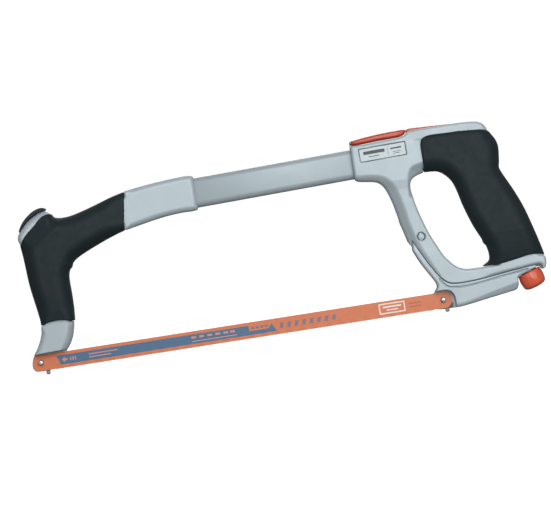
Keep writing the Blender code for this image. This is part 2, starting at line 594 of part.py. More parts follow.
def tensioner(root):
    """The washer, and the knob with its screw, which turn about the screw's axis."""
    axis = empty("screw_axis", SCREW_FOOT, root, -SCREW_LEAN)
    add("thrust_washer", ring(WASHER_R, SCREW_R + 0.4, WASHER_LOW, WASHER_HIGH), MATERIALS["steel"], axis)
    knob_profile = [
        (KNOB_R - 3.6, -KNOB_HEIGHT), (KNOB_R - 1.4, 0.9 - KNOB_HEIGHT), (KNOB_R, 3.0 - KNOB_HEIGHT),
        (KNOB_R, -KNOB_CHAMFER), (KNOB_R - KNOB_CHAMFER, 0),
    ]
    knob = add("tension_knob", turned(knob_profile), MATERIALS["orange"], axis)
    pocket = turned([(SCREW_HEAD_R + GAP, SCREW_HEAD - GAP), (SCREW_HEAD_R + GAP, 5)], steps=6)
    cut(knob, helper("knob_pocket", pocket, axis))
    shank = turned([(SCREW_R, SCREW_HEAD), (SCREW_R, SCREW_TOP)], steps=16)
    head = turned([(SCREW_HEAD_R, SCREW_HEAD), (SCREW_HEAD_R, -0.2)], steps=6)
    screw = add("tension_screw", shank, MATERIALS["steel"], axis)
    join(screw, helper("screw_head", head, axis))


def barrel_nut(root):
    cylinder = slab(circle(nut_place(), NUT_R, 24), -NUT_HALF_WIDTH, NUT_HALF_WIDTH)
    nut = add("barrel_nut", cylinder, MATERIALS["steel"], root)
    bore = along_screw(turned([(SCREW_R + GAP, -8), (SCREW_R + GAP, SCREW_TOP + 8)], steps=16))
    cut(nut, helper("nut_bore", bore, root))


def saw_blade(root):
    outline = (
        arc((-BLADE_END + 3.6, BLADE_TOP - 3.6), 3.6, 180, 90, 4)
        + arc((BLADE_HOLES + BLADE_END - 5.0, BLADE_TOP - 5.0), 5.0, 90, 0, 5)
        + arc((BLADE_HOLES + BLADE_END - 5.0, BLADE_TEETH + 5.6), 5.0, 0, -90, 5)
        + [(292.0, BLADE_TEETH + 0.6), (291.0, BLADE_TEETH), (10.0, BLADE_TEETH), (9.0, BLADE_TEETH + 0.6)]
        + arc((-BLADE_END + 3.6, BLADE_TEETH + 4.2), 3.6, -90, -180, 4)
    )
    half = BLADE_THICK / 2
    blade = add("saw_blade", slab(outline, -half, half), MATERIALS["blade"], root)
    for name, x in (("blade_front_hole", 0), ("blade_rear_hole", BLADE_HOLES)):
        cut(blade, helper(name, slab(circle((x, 0), BLADE_HOLE_R), -5, 5), root))


def top_inlay(root):
    add("top_inlay", slab(inlay_outline(), -6.0, 6.0), MATERIALS["orange"], root)


clear_scene()
MATERIALS = {
    "casting": material("painted_aluminium", (0.43, 0.51, 0.55), 0.25, 0.42),
    "rubber": material("black_rubber", (0.03, 0.04, 0.045), 0.0, 0.62),
    "orange": material("orange_plastic", (0.62, 0.1, 0.035), 0.0, 0.35),
    "steel": material("bright_steel", (0.62, 0.63, 0.64), 1.0, 0.3),
    "label": material("silver_label", (0.75, 0.79, 0.8), 0.4, 0.35),
    "blade": material("painted_blade", (0.64, 0.18, 0.07), 0.1, 0.4),
    "helper": material("helper", (1.0, 0.0, 1.0), 0.0, 0.5),
}
saw = empty("hacksaw", (-(FRONT_END + REAR_END) / 2, -LOWEST))
for make in (front_bow, front_grip, nose_pad, top_tube, tube_screws, handle_frame, rear_grip, label_plate,
             storage_lid, top_inlay, tension_lever, fixed_pins, tensioner, barrel_nut, saw_blade):
    make(saw)
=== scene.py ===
"""The looks of the hacksaw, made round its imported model.

Shapes are drawn in millimetres about the front blade pin: x runs along the blade towards the handle, y
through the saw's thickness and z up. Castings and rubbers are solid fields, skinned with a fine mesh; round
pieces are turned; the blade is a toothed strip.
"""

import math

import bmesh
import bpy
import numpy as np
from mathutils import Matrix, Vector


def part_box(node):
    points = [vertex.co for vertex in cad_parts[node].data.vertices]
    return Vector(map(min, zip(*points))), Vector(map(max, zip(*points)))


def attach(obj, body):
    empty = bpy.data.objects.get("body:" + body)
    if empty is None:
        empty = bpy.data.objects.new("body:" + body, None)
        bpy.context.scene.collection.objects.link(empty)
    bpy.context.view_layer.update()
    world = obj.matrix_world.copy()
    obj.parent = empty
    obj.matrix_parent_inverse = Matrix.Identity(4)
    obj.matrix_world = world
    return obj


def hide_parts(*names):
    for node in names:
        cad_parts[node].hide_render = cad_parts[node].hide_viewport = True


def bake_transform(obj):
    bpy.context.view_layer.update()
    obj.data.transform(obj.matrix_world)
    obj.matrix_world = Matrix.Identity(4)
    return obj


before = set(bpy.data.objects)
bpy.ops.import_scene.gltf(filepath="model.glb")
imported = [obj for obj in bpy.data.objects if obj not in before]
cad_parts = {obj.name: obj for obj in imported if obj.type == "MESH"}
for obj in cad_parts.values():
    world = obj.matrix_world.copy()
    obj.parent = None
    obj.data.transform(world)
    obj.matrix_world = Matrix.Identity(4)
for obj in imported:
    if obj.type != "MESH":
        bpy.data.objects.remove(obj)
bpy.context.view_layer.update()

MM = 0.001
GAP = 0.3
SHARP = True
STEP = 0.6
FINE_STEP = 0.4
PLAN_STEP = 0.5
PATH_STEP = 0.7
SETTLE_ROUNDS, SETTLE_REACH = 3, 0.35

# Sizes that the CAD model also has.
SEAT_Y = 0.625
BLADE_HOLES = 300.0
BLADE_HALF_THICK = 0.325
PIN_R = 1.8
PIVOT = (290.7, 48.4)
LID_HINGE = (250.8, 124.0)
SCREW_FOOT = (365.3, 10.75)
SCREW_LEAN = math.radians(18.3)
TUBE_START, TUBE_END = 98.0, 286.0
TUBE_Z, TUBE_AT, TUBE_RISE = 105.8, 131.0, 0.0244
TUBE_HALF_HEIGHT, TUBE_HALF_WIDTH, TUBE_CORNER, TUBE_WALL = 10.9, 6.5, 4.5, 1.2
FRONT_SCREW_X, REAR_SCREW_X = 112.0, 256.0
ANGLE_TILT = math.radians(35)
ANGLE_PIN_Y, ANGLE_PIN_Z = 4.2, -5.5
FRONT_ANGLE_X, REAR_ANGLE_X = 4.0, 302.0
ANGLE_WAY = (0.0, -math.sin(ANGLE_TILT), -math.cos(ANGLE_TILT))
SCREW_WAY = (-math.sin(SCREW_LEAN), 0.0, math.cos(SCREW_LEAN))
SCREW_START = (SCREW_FOOT[0], 0.0, SCREW_FOOT[1])
NUT_ALONG, NUT_BORE = 24.5, 6.3
MOUTH_START, MOUTH_HALF_WIDTH, MOUTH_FLOOR = 258.0, 4.5, 112.0
BLADE_TOP, BLADE_FOOT, BLADE_TIPS, BLADE_GULLETS = 5.6, -6.3, -6.9, -6.1
TEETH_FROM, TEETH_TO, TOOTH_PITCH, TOOTH_SET = 10.0, 291.0, 25.4 / 24, 0.22

# The blade's rows of points from its top down to its teeth, as fractions of its height.
BLADE_ROWS = (0.0, 0.1, 0.3, 0.55, 0.78, 0.93, 1.0)
LABEL_FACE_Y, LABEL_BACK_Y, LABEL_INK_Y = -10.72, -10.2, -10.8

# Bars on the label: where each starts and ends along it, the heights of its two ends, and its width in mm.
LABEL_BARS = [
    ((0.62, 0.62), 0.1, 0.9, 0.2),
    ((0.08, 0.55), 0.64, 0.64, 2.4),
    ((0.18, 0.42), 0.3, 0.3, 0.5),
    ((0.68, 0.92), 0.66, 0.66, 1.1),
    ((0.72, 0.9), 0.38, 0.38, 0.4),
    ((0.72, 0.86), 0.24, 0.24, 0.4),
]

# Bars in place of the blade's printing: each goes from x to x and from z to z.
PALE_BARS = [
    (17.5, 19.6, -1.0, 0.4), (21.4, 22.3, -1.6, 1.0), (23.2, 24.1, -1.6, 1.0), (25.0, 25.9, -1.6, 1.0),
    (35.5, 57.0, 0.5, 1.3), (35.5, 52.0, -1.7, -0.9), (112.5, 146.0, -2.3, -1.6),
    *[(start, start + 3.6, 0.2, 1.8) for start in (112.0, 118.0, 124.0, 130.0, 136.0, 141.0)],
]
NOTCH_BARS = [(start, start + 2.2, 0.2, 2.0) for start in (156.8, 160.2, 163.6, 167.0)]
LEANING_BARS = [
    (start, start + 2.6, -2.2, 1.8) for start in (178.0, 183.6, 189.2, 194.8, 200.4, 206.0, 211.6, 217.2)
]
BADGE_BARS = [(255.0, 268.6, 0.5, 1.7), (257.5, 266.0, -1.7, -0.8)]
DARK_BARS = [(274.0, 283.4, 0.7, 1.4), (274.4, 282.8, -1.7, -1.0)]

CAMERA_AIM, CAMERA_DISTANCE, CAMERA_LENS, CAMERA_ROLL = (182.6, 0.0, 50.2), 2.4, 212.7, 8.9
FLOOR_GLOW, FLOOR_RADIUS, FLOOR_WALL = 0.88, 3.0, 4.2
SKY_BELOW, SKY_ABOVE = 0.12, 0.32
LIGHT_TARGET = Vector((0.0, 0.0, 0.06))

# Each light's name, place in metres, size in metres and power in watts.
LIGHTS = (
    ("key_light", (0.0, -1.45, 0.5), 0.9, 11.0),
    ("fill_light", (0.65, -1.6, 0.35), 1.2, 13.5),
    ("back_light", (0.2, 1.3, 1.0), 1.0, 8.0),
)

# The front blade pin's axis is the drawings' zero.
pin_low, pin_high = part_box("front_blade_pin")
HOME = Vector(((pin_low[0] + pin_high[0]) / 2, 0, (pin_low[2] + pin_high[2]) / 2))


def place(x, y, z):
    """A point of the drawings in the saw's own frame."""
    return HOME + Vector((x, y, z)) * MM


# ---------------------------------------------------------------- outlines

HANDLE = [
    (249.2, 120.4), (250.4, 121.8), (259.0, 121.8), (266.0, 122.1), (274.0, 122.5), (284.0, 122.8),
    (289.6, 123.9), (291.1, 125.2), (292.4, 126.0), (295.4, 126.5), (299.6, 126.8), (312.0, 127.0),
    (325.0, 127.0), (335.0, 126.8), (343.0, 126.0), (347.2, 124.3), (349.5, 121.9), (350.6, 119.6),
    (350.9, 117.6, SHARP), (349.4, 116.0), (350.2, 112.0), (351.0, 106.0), (350.4, 97.0), (350.0, 89.5),
    (353.6, 80.5), (358.2, 70.8), (362.0, 61.8), (366.4, 48.2), (369.6, 38.0), (372.0, 29.0),
    (374.2, 23.6), (377.7, 21.4), (378.7, 19.6), (378.8, 17.0), (378.3, 14.0), (377.2, 11.9),
    (375.4, 11.2, SHARP), (374.9, 14.4), (373.4, 15.3), (371.0, 15.35), (366.0, 15.05), (360.0, 14.35),
    (350.0, 13.5), (340.0, 12.3), (331.0, 11.4), (320.0, 10.7), (312.5, 10.7), (307.0, 11.5),
    (303.1, 13.9), (298.9, 18.6), (295.3, 24.4), (291.9, 30.4), (288.9, 36.4), (286.2, 41.6),
    (284.6, 45.0), (283.5, 46.9, SHARP), (282.9, 45.0), (282.5, 42.6), (282.4, 40.7, SHARP),
    (281.4, 43.6), (280.1, 47.6), (278.3, 55.0), (276.9, 60.0), (276.2, 65.0), (275.2, 70.0),
    (274.2, 75.0), (272.8, 80.0), (271.1, 85.0), (269.4, 88.6), (266.6, 91.8), (263.5, 93.3),
    (259.0, 94.2), (254.0, 95.0), (250.6, 95.9), (249.2, 97.6),
]
HAND_HOLE = [
    (289.2, 79.0), (290.0, 74.0), (290.9, 70.0), (292.1, 65.0), (293.6, 60.0), (295.1, 55.0),
    (296.9, 50.0), (298.9, 45.0), (301.2, 40.0), (303.4, 35.0), (306.4, 30.0), (310.4, 25.2),
    (314.0, 22.2), (317.8, 20.5), (322.0, 19.6), (328.0, 19.4), (334.0, 19.3), (343.8, 19.4, SHARP),
    (344.4, 25.0), (343.4, 32.6), (339.8, 41.2), (334.4, 51.2), (330.8, 59.3), (327.6, 67.2),
    (325.5, 75.4), (324.0, 80.6), (322.9, 84.8), (321.2, 88.2), (318.2, 91.8), (314.5, 94.7),
    (309.5, 96.8), (303.0, 97.4), (299.9, 97.3, SHARP), (299.7, 94.7, SHARP), (295.0, 93.5),
    (291.4, 91.8), (289.6, 89.8), (288.6, 87.0), (288.6, 83.0),
]
# Where the post's face starts to fall away towards the blade, and where the head's does to the hand hole.
POST_BEVEL = [
    (300.0, 17.5, SHARP), (297.0, 23.6), (294.0, 29.8), (291.0, 36.4), (288.4, 42.4), (286.6, 47.6),
    (285.2, 52.5), (283.9, 58.0), (282.8, 64.0), (281.8, 70.0), (280.6, 76.0), (279.1, 82.0),
    (277.1, 87.6), (274.0, 92.4), (269.4, 95.8), (263.5, 97.6), (256.0, 98.6), (240.0, 99.4, SHARP),
    (230.0, 70.0, SHARP), (250.0, 30.0, SHARP), (280.0, 17.5, SHARP),
]
HOLE_BEVEL = [
    (286.4, 78.0, SHARP), (286.5, 84.0), (287.0, 88.5), (287.6, 92.5), (288.9, 96.6), (290.6, 99.3),
    (293.2, 100.8), (297.0, 101.6), (301.0, 102.6), (308.0, 103.6, SHARP), (312.0, 84.0, SHARP),
    (300.0, 74.0, SHARP),
]
# The rear rubber's own body runs past its seams, and the trim cuts it there.
REAR_RUBBER = [
    (284.0, 94.8, SHARP), (300.0, 94.8), (309.0, 94.3), (313.2, 92.4), (316.2, 89.8), (318.6, 86.9),
    (320.4, 83.6), (322.5, 77.0), (325.0, 66.4), (330.0, 51.0), (335.0, 39.6), (335.6, 36.9),
    (337.2, 34.6), (338.1, 31.0), (338.4, 27.0), (337.6, 23.6), (334.4, 21.4), (329.0, 18.6, SHARP),
    (329.0, 8.0, SHARP), (381.0, 8.0, SHARP), (379.4, 18.0), (378.0, 25.0), (376.0, 33.0), (374.0, 40.5),
    (371.8, 48.6), (369.0, 58.0), (365.8, 66.4), (362.0, 75.0), (358.2, 82.8), (356.2, 87.2),
    (355.3, 90.4), (355.9, 93.4), (356.5, 98.0), (357.0, 103.0), (356.9, 107.0), (355.6, 111.2),
    (353.4, 115.0), (350.6, 119.6), (345.0, 124.0), (330.0, 125.4), (300.0, 125.6), (284.0, 125.6, SHARP),
]
REAR_TRIM = [
    (300.2, 84.0, SHARP), (300.2, 105.0), (300.3, 115.0), (301.4, 118.6), (304.6, 120.7), (310.0, 121.3),
    (320.0, 121.0), (330.0, 120.8), (340.0, 120.1), (347.0, 119.4), (350.2, 118.7), (353.4, 117.4),
    (362.0, 115.0, SHARP), (400.0, 110.0, SHARP), (400.0, 19.4, SHARP), (381.0, 19.4), (378.4, 20.8),
    (375.6, 22.4), (371.6, 23.1), (366.0, 23.0), (360.0, 22.0), (350.0, 20.3), (340.0, 18.9),
    (337.0, 18.7), (332.0, 19.6), (326.0, 19.2), (318.0, 16.0, SHARP), (318.0, 60.0, SHARP),
]
BOW = [
    (132.3, 106.0), (131.9, 116.4), (130.4, 118.9), (119.5, 119.2), (109.5, 118.5), (99.0, 117.6),
    (88.6, 116.4), (80.1, 115.1, SHARP), (79.3, 110.2, SHARP), (71.0, 108.0), (61.0, 105.2),
    (51.5, 103.8), (42.5, 101.4), (34.0, 100.6), (27.0, 101.2), (24.2, 103.6), (23.0, 107.0, SHARP),
    (21.9, 108.6), (19.6, 109.9), (16.6, 109.7), (12.6, 108.0), (8.4, 105.6), (4.6, 102.6), (0.8, 98.5),
    (-1.6, 95.4), (-2.6, 92.0), (-1.7, 88.2, SHARP), (2.6, 86.8, SHARP), (2.2, 83.0), (1.9, 76.0),
    (2.3, 68.0), (2.9, 60.0), (4.1, 50.0), (5.6, 40.0), (6.8, 30.4), (7.0, 27.4, SHARP),
    (4.8, 26.6, SHARP), (3.7, 20.6), (1.6, 15.2), (-1.1, 10.3), (-4.1, 6.2), (-6.1, 2.4), (-6.9, -1.6),
    (-6.5, -4.4), (-4.9, -6.4), (-2.6, -7.0), (4.4, -7.0), (6.8, -6.5), (9.2, -4.9), (12.2, -2.4),
    (16.0, 1.4), (19.4, 5.4), (23.0, 9.8), (25.6, 14.6), (27.4, 20.4), (28.4, 26.4, SHARP),
    (26.4, 27.0, SHARP), (26.9, 32.0), (27.5, 41.0), (27.2, 50.0), (27.4, 60.0), (29.0, 66.4),
    (34.0, 72.0), (42.0, 76.6), (50.0, 80.3), (59.0, 84.6), (69.0, 89.0), (76.0, 91.6, SHARP),
    (76.3, 86.9, SHARP), (82.0, 87.9), (90.0, 89.4), (100.0, 91.2), (110.0, 92.5), (120.0, 93.1),
    (130.4, 93.3), (131.9, 95.4),
]
BOW_BEVEL = [
    (24.0, 31.0, SHARP), (23.8, 26.0), (22.6, 19.8), (20.8, 14.6), (18.0, 9.6), (13.6, 4.0), (9.0, -1.0),
    (9.0, -14.0, SHARP), (45.0, -14.0, SHARP), (45.0, 31.0, SHARP),
]
FRONT_RUBBER = [
    (96.0, 118.6, SHARP), (88.0, 116.8), (79.5, 114.8), (70.0, 112.5), (60.0, 109.5), (51.0, 106.7),
    (44.0, 104.8), (38.0, 103.5), (33.0, 103.1), (28.6, 103.5), (25.8, 104.6), (24.2, 107.0),
    (21.0, 112.0), (14.0, 117.0, SHARP), (-10.0, 104.0, SHARP), (-4.6, 96.0), (-1.9, 88.4), (-1.4, 84.0),
    (-0.9, 78.0), (-0.4, 71.0), (0.1, 62.0), (0.9, 54.0), (2.2, 45.0), (3.6, 36.0), (4.5, 30.0),
    (4.6, 24.0), (3.6, 10.0, SHARP), (28.0, 10.0, SHARP), (29.0, 24.0), (29.6, 31.0), (30.1, 37.0),
    (30.2, 46.0), (30.0, 55.0), (30.2, 60.0), (31.4, 64.2), (33.4, 66.2), (34.4, 68.8), (37.0, 71.2),
    (42.0, 74.0), (50.0, 77.5), (60.0, 81.5), (68.0, 84.4), (76.0, 86.8), (84.0, 88.2),
    (96.0, 90.0, SHARP),
]
FRONT_TRIM = [
    (79.6, 130.0, SHARP), (79.5, 114.8), (79.0, 108.0), (78.0, 100.0), (76.4, 91.0), (75.6, 86.4),
    (74.6, 76.0, SHARP), (40.0, 22.0, SHARP), (33.0, 25.6), (28.6, 26.9), (26.0, 27.5), (22.0, 28.5),
    (16.0, 28.9), (10.0, 28.3), (7.0, 27.4), (4.6, 26.2), (-6.0, 20.0, SHARP), (-20.0, 70.0, SHARP),
    (-8.0, 83.0), (-1.8, 88.2), (0.4, 90.7), (5.0, 95.4), (10.4, 99.8), (14.0, 103.3), (18.0, 106.2),
    (22.0, 107.2), (24.6, 107.3), (30.0, 108.4), (40.0, 130.0, SHARP),
]
LEVER = [
    (284.3, 45.2, SHARP), (283.7, 43.2), (283.4, 41.4, SHARP), (283.0, 39.4, SHARP), (284.4, 36.0),
    (286.2, 31.8), (288.9, 26.6), (292.6, 20.2), (295.4, 15.2), (296.9, 11.6), (296.6, 9.4),
    (293.6, 5.6, SHARP), (293.1, 0.0), (293.4, -5.4), (296.0, -6.8), (300.0, -7.2), (306.0, -7.2),
    (312.0, -6.9), (320.0, -6.0), (330.0, -4.5), (340.0, -3.1), (350.0, -1.7), (353.6, -1.0),
    (355.4, 0.4), (356.3, 3.0), (356.5, 6.6), (357.4, 8.5), (362.0, 10.2), (366.0, 11.6), (370.6, 13.2),
    (371.2, 14.0), (370.4, 14.95), (366.0, 14.7), (360.0, 14.0), (350.0, 13.1), (340.0, 11.9),
    (331.0, 11.0), (320.0, 10.3), (312.5, 10.3), (306.8, 11.1), (302.8, 13.5), (298.6, 18.4),
    (295.0, 24.2), (291.6, 30.2), (288.6, 36.2), (286.0, 41.2), (284.8, 43.8),
]
# Where the handle and the lever meet: both have crisp edges along it.
SEAM = [
    (283.4, 46.4), (285.6, 42.0), (291.6, 30.2), (298.6, 18.4), (302.9, 13.6), (306.9, 11.2),
    (312.5, 10.5), (320.0, 10.5), (331.0, 11.2), (350.0, 13.3), (366.0, 14.8), (372.0, 15.2),
]
LEVER_WEB = [
    (285.4, 49.2), (287.4, 51.6), (290.7, 53.0), (294.0, 51.6), (295.3, 48.4), (295.4, 44.0),
    (296.2, 38.0), (298.2, 30.0), (301.2, 22.0), (305.0, 14.0), (307.6, 9.0, SHARP), (302.0, 6.0, SHARP),
    (296.0, 17.6), (289.6, 28.8), (285.0, 37.6), (283.2, 41.4), (282.5, 44.0), (282.5, 46.2),
    (283.3, 47.8),
]
CHANNEL = [
    (284.6, 50.2), (287.1, 52.0), (290.7, 53.5), (294.3, 52.0), (295.8, 48.4), (296.1, 44.0),
    (296.8, 38.0), (298.8, 30.0), (301.8, 22.0), (305.6, 15.4), (308.6, 11.6, SHARP), (308.6, 4.0, SHARP),
    (284.0, 4.0, SHARP), (275.0, 30.0, SHARP), (278.0, 45.2, SHARP), (281.7, 45.2, SHARP), (281.8, 47.6),
    (282.7, 49.0),
]
# A block inside the arm's end, between the lever's prongs and over the knob.
NOSE_LIP = [
    (368.2, 13.7, SHARP), (371.5, 14.7, SHARP), (371.9, 13.35, SHARP), (372.9, 13.5), (373.75, 13.3),
    (374.25, 12.65), (374.6, 12.0), (375.0, 11.25, SHARP), (376.6, 11.8, SHARP), (376.4, 18.6, SHARP),
    (368.2, 18.6, SHARP),
]
LEVER_GROOVE = [
    (299.4, 15.4), (300.8, 13.0), (302.6, 10.8), (305.0, 8.9), (308.0, 8.0), (317.4, 7.5), (324.0, 7.9),
    (333.0, 9.0), (342.0, 10.2), (351.0, 11.3), (358.0, 12.1), (364.0, 12.8),
]
# The lever's rib, which runs in a groove under the arm and closes the seam between them.
LEVER_RIB = [
    (303.6, 7.0, SHARP), (304.6, 14.4), (307.0, 13.4), (312.0, 12.4), (320.0, 12.3), (331.0, 12.9),
    (340.0, 13.8), (350.0, 15.0), (357.0, 15.8, SHARP), (357.0, 9.0, SHARP), (330.0, 6.0, SHARP),
]
LEVER_BEVEL = [
    (308.0, -4.9, SHARP), (316.0, -4.4), (325.0, -2.4), (335.0, -0.1), (345.0, 2.0), (353.0, 3.8),
    (362.0, 5.6, SHARP), (362.0, -16.0, SHARP), (308.0, -16.0, SHARP),
]
LEVER_SEAT = [
    (286.0, -20.0, SHARP), (308.3, -20.0, SHARP), (308.3, -0.8), (307.7, 2.4), (306.0, 5.0), (303.4, 6.4),
    (294.0, 6.6), (286.0, 6.6, SHARP),
]
NOSE_PAD = [
    (20.9, 110.7), (19.6, 112.2), (16.8, 112.6), (12.6, 111.6), (8.6, 109.4), (4.2, 105.8), (1.0, 101.9),
    (-0.9, 98.4), (-1.2, 96.5), (0.4, 98.5), (4.7, 103.05), (12.8, 108.45), (19.6, 110.2),
]
LID = [
    (249.3, 123.2), (249.3, 124.8), (250.9, 125.6), (253.0, 126.0), (259.0, 126.8), (268.0, 127.6),
    (277.0, 128.1), (285.0, 128.3), (290.4, 128.2), (291.6, 127.4), (291.1, 126.0), (289.7, 124.6),
    (287.0, 123.7), (282.0, 123.3), (272.0, 123.1), (262.0, 122.6), (254.0, 122.3), (250.9, 122.4),
]
INLAY = [
    (289.3, 122.6, SHARP), (290.0, 124.1), (291.4, 125.6), (291.95, 127.2), (292.7, 128.2),
    (294.4, 128.4), (300.0, 128.2), (310.0, 127.8), (320.0, 127.4), (327.0, 127.0, SHARP),
    (326.9, 126.7, SHARP), (310.0, 126.1), (298.0, 125.3), (293.4, 123.8),
]
LABEL = [(255.5, 109.4), (289.0, 110.2), (288.8, 119.0), (255.3, 118.3)]


# ---------------------------------------------------------------- plane distances

def smooth_path(points, closed=True):
    """A curve through (x, z) points as closely spaced points; a point marked SHARP stays a corner."""
    spots = [np.array(point[:2]) for point in points]
    sharp = [len(point) > 2 for point in points]
    count = len(spots)
    curve = []
    for i in range(count if closed else count - 1):
        j = (i + 1) % count
        before, after = spots[i - 1], spots[(j + 1) % count]
        if sharp[i] or (not closed and i == 0):
            before = spots[i]
        if sharp[j] or (not closed and j == count - 1):
            after = spots[j]
        chord = np.linalg.norm(spots[j] - spots[i])
        leave = (spots[j] - before) * chord / (chord + np.linalg.norm(spots[i] - before))
        arrive = (after - spots[i]) * chord / (chord + np.linalg.norm(after - spots[j]))
        pieces = max(1, math.ceil(chord / PATH_STEP))
        for t in np.arange(pieces) / pieces:
            curve.append(
                spots[i] * (2 * t**3 - 3 * t**2 + 1) + leave * (t**3 - 2 * t**2 + t)
                + spots[j] * (3 * t**2 - 2 * t**3) + arrive * (t**3 - t**2)
            )
    if not closed:
        curve.append(spots[-1])
    return np.array(curve)


class Plan:
    """Distance to a path in the (x, z) plane, below zero inside a closed one, read from a grid made once."""

    def __init__(self, points, closed=True, margin=16.0):
        path = smooth_path(points, closed)
        self.low = path.min(axis=0) - margin
        size = np.ceil((path.max(axis=0) + margin - self.low) / PLAN_STEP).astype(int) + 2
        x = (self.low[0] + PLAN_STEP * np.arange(size[0]))[:, None]
        z = (self.low[1] + PLAN_STEP * np.arange(size[1]))[None, :]
        nearest = np.full(size, 1e9)
        inside = np.zeros(size, bool)
        starts = path if closed else path[:-1]
        ends = np.roll(path, -1, axis=0) if closed else path[1:]
        for (ax, az), (bx, bz) in zip(starts, ends):
            ux, uz = bx - ax, bz - az
            along = ((x - ax) * ux + (z - az) * uz) / (ux * ux + uz * uz)
            along = np.clip(along, 0, 1)
            aside = (x - ax - along * ux) ** 2 + (z - az - along * uz) ** 2
            np.minimum(nearest, aside, out=nearest)
            if closed and az != bz:
                crosses = (az > z) != (bz > z)
                inside ^= crosses & (x < ax + (z - az) * ux / uz)
        self.table = np.sqrt(nearest)
        self.table[inside] *= -1

    def __call__(self, x, z):
        u = np.clip((x - self.low[0]) / PLAN_STEP, 0, self.table.shape[0] - 1.001)
        v = np.clip((z - self.low[1]) / PLAN_STEP, 0, self.table.shape[1] - 1.001)
        u, v = np.broadcast_arrays(u, v)
        i, j = u.astype(int), v.astype(int)
        s, t = u - i, v - j
        near = self.table[i, j] * (1 - s) + self.table[i + 1, j] * s
        far = self.table[i, j + 1] * (1 - s) + self.table[i + 1, j + 1] * s
        return near * (1 - t) + far * t


# ---------------------------------------------------------------- solid fields (below zero inside)

def smooth_max(a, b, soft):
    closeness = np.maximum(soft - np.abs(a - b), 0) / soft
    return np.maximum(a, b) + closeness**2 * soft / 4


def united(a, b, soft=0.8):
    return -smooth_max(-a, -b, soft)


def carved(a, cutter, soft=0.6):
    return smooth_max(a, -cutter, soft)


def plate(flat, y, half, along, across):
    """A plate with that plane distance and half thickness, whose edge rounds over along by across."""
    u = flat / along + 1
    v = (np.abs(y) - half) / across + 1
    corner = np.hypot(np.maximum(u, 0), np.maximum(v, 0))
    return (corner + np.minimum(np.maximum(u, v), 0) - 1) * np.minimum(along, across)


def fallen(flat, slope, soft=2.0):
    """How far a face falls inside a bevel's plan, starting softly at its edge."""
    return slope * smooth_max(-flat, 0 * flat, soft)


def rod(x, y, z, start, way, radius, low=-99.0, high=99.0):
    """A cylinder round the line through start along way, between two lengths along it."""
    along = (x - start[0]) * way[0] + (y - start[1]) * way[1] + (z - start[2]) * way[2]
    aside = np.sqrt(
        (x - start[0] - along * way[0]) ** 2 + (y - start[1] - along * way[1]) ** 2
        + (z - start[2] - along * way[2]) ** 2
    )
    return np.maximum(aside - radius, np.maximum(low - along, along - high))


def across_rod(x, y, z, at, radius, low=-99.0, high=99.0):
    return rod(x, y, z, (at[0], 0.0, at[1]), (0.0, 1.0, 0.0), radius, low, high)


def upright_rod(x, y, z, at_x, radius, low, high):
    return rod(x, y, z, (at_x, 0.0, 0.0), (0.0, 0.0, 1.0), radius, low, high)


def box(x, y, z, low, high):
    sides = (low[0] - x, x - high[0], low[1] - y, y - high[1], low[2] - z, z - high[2])
    inside = sides[0]
    for side in sides[1:]:
        inside = np.maximum(inside, side)
    return inside


def tube_axis_z(x):
    return TUBE_Z + (x - TUBE_AT) * TUBE_RISE


def tube_section(x, y, z, grow):
    """The tube's rounded box section, endless along x."""
    corner = TUBE_CORNER + grow
    u = np.abs(z - tube_axis_z(x)) - (TUBE_HALF_HEIGHT + grow - corner)
    v = np.abs(y) - (TUBE_HALF_WIDTH + grow - corner)
    outside = np.hypot(np.maximum(u, 0), np.maximum(v, 0))
    return outside + np.minimum(np.maximum(u, v), 0) - corner


def blade_holder(field, x, y, z, pin_x, angle_x, slant_end):
    """A blade seat's slanted underside and the bores for its two pins."""
    fall = math.tan(ANGLE_TILT)
    below = (z + 3 + (y - SEAT_Y) * fall) * math.cos(ANGLE_TILT)
    field = carved(field, np.maximum(below, x - slant_end), 0.8)
    field = carved(field, across_rod(x, y, z, (pin_x, 0), PIN_R + GAP, high=7.1), 0.4)
    start = (angle_x, ANGLE_PIN_Y, ANGLE_PIN_Z)
    return carved(field, rod(x, y, z, start, ANGLE_WAY, 1.9, -2.4, 8.0), 0.4)


def blended(value, start, end):
    t = np.clip((value - start) / (end - start), 0, 1)
    return t * t * (3 - 2 * t)


# ---------------------------------------------------------------- skinning a field

def field_values(field, points):
    return field(points[:, 0], points[:, 1], points[:, 2])


def field_slope(field, points, reach=0.2):
    slope = np.empty_like(points)
    for axis in range(3):
        offset = np.zeros(3)
        offset[axis] = reach
        slope[:, axis] = field_values(field, points + offset) - field_values(field, points - offset)
    return slope / (2 * reach)


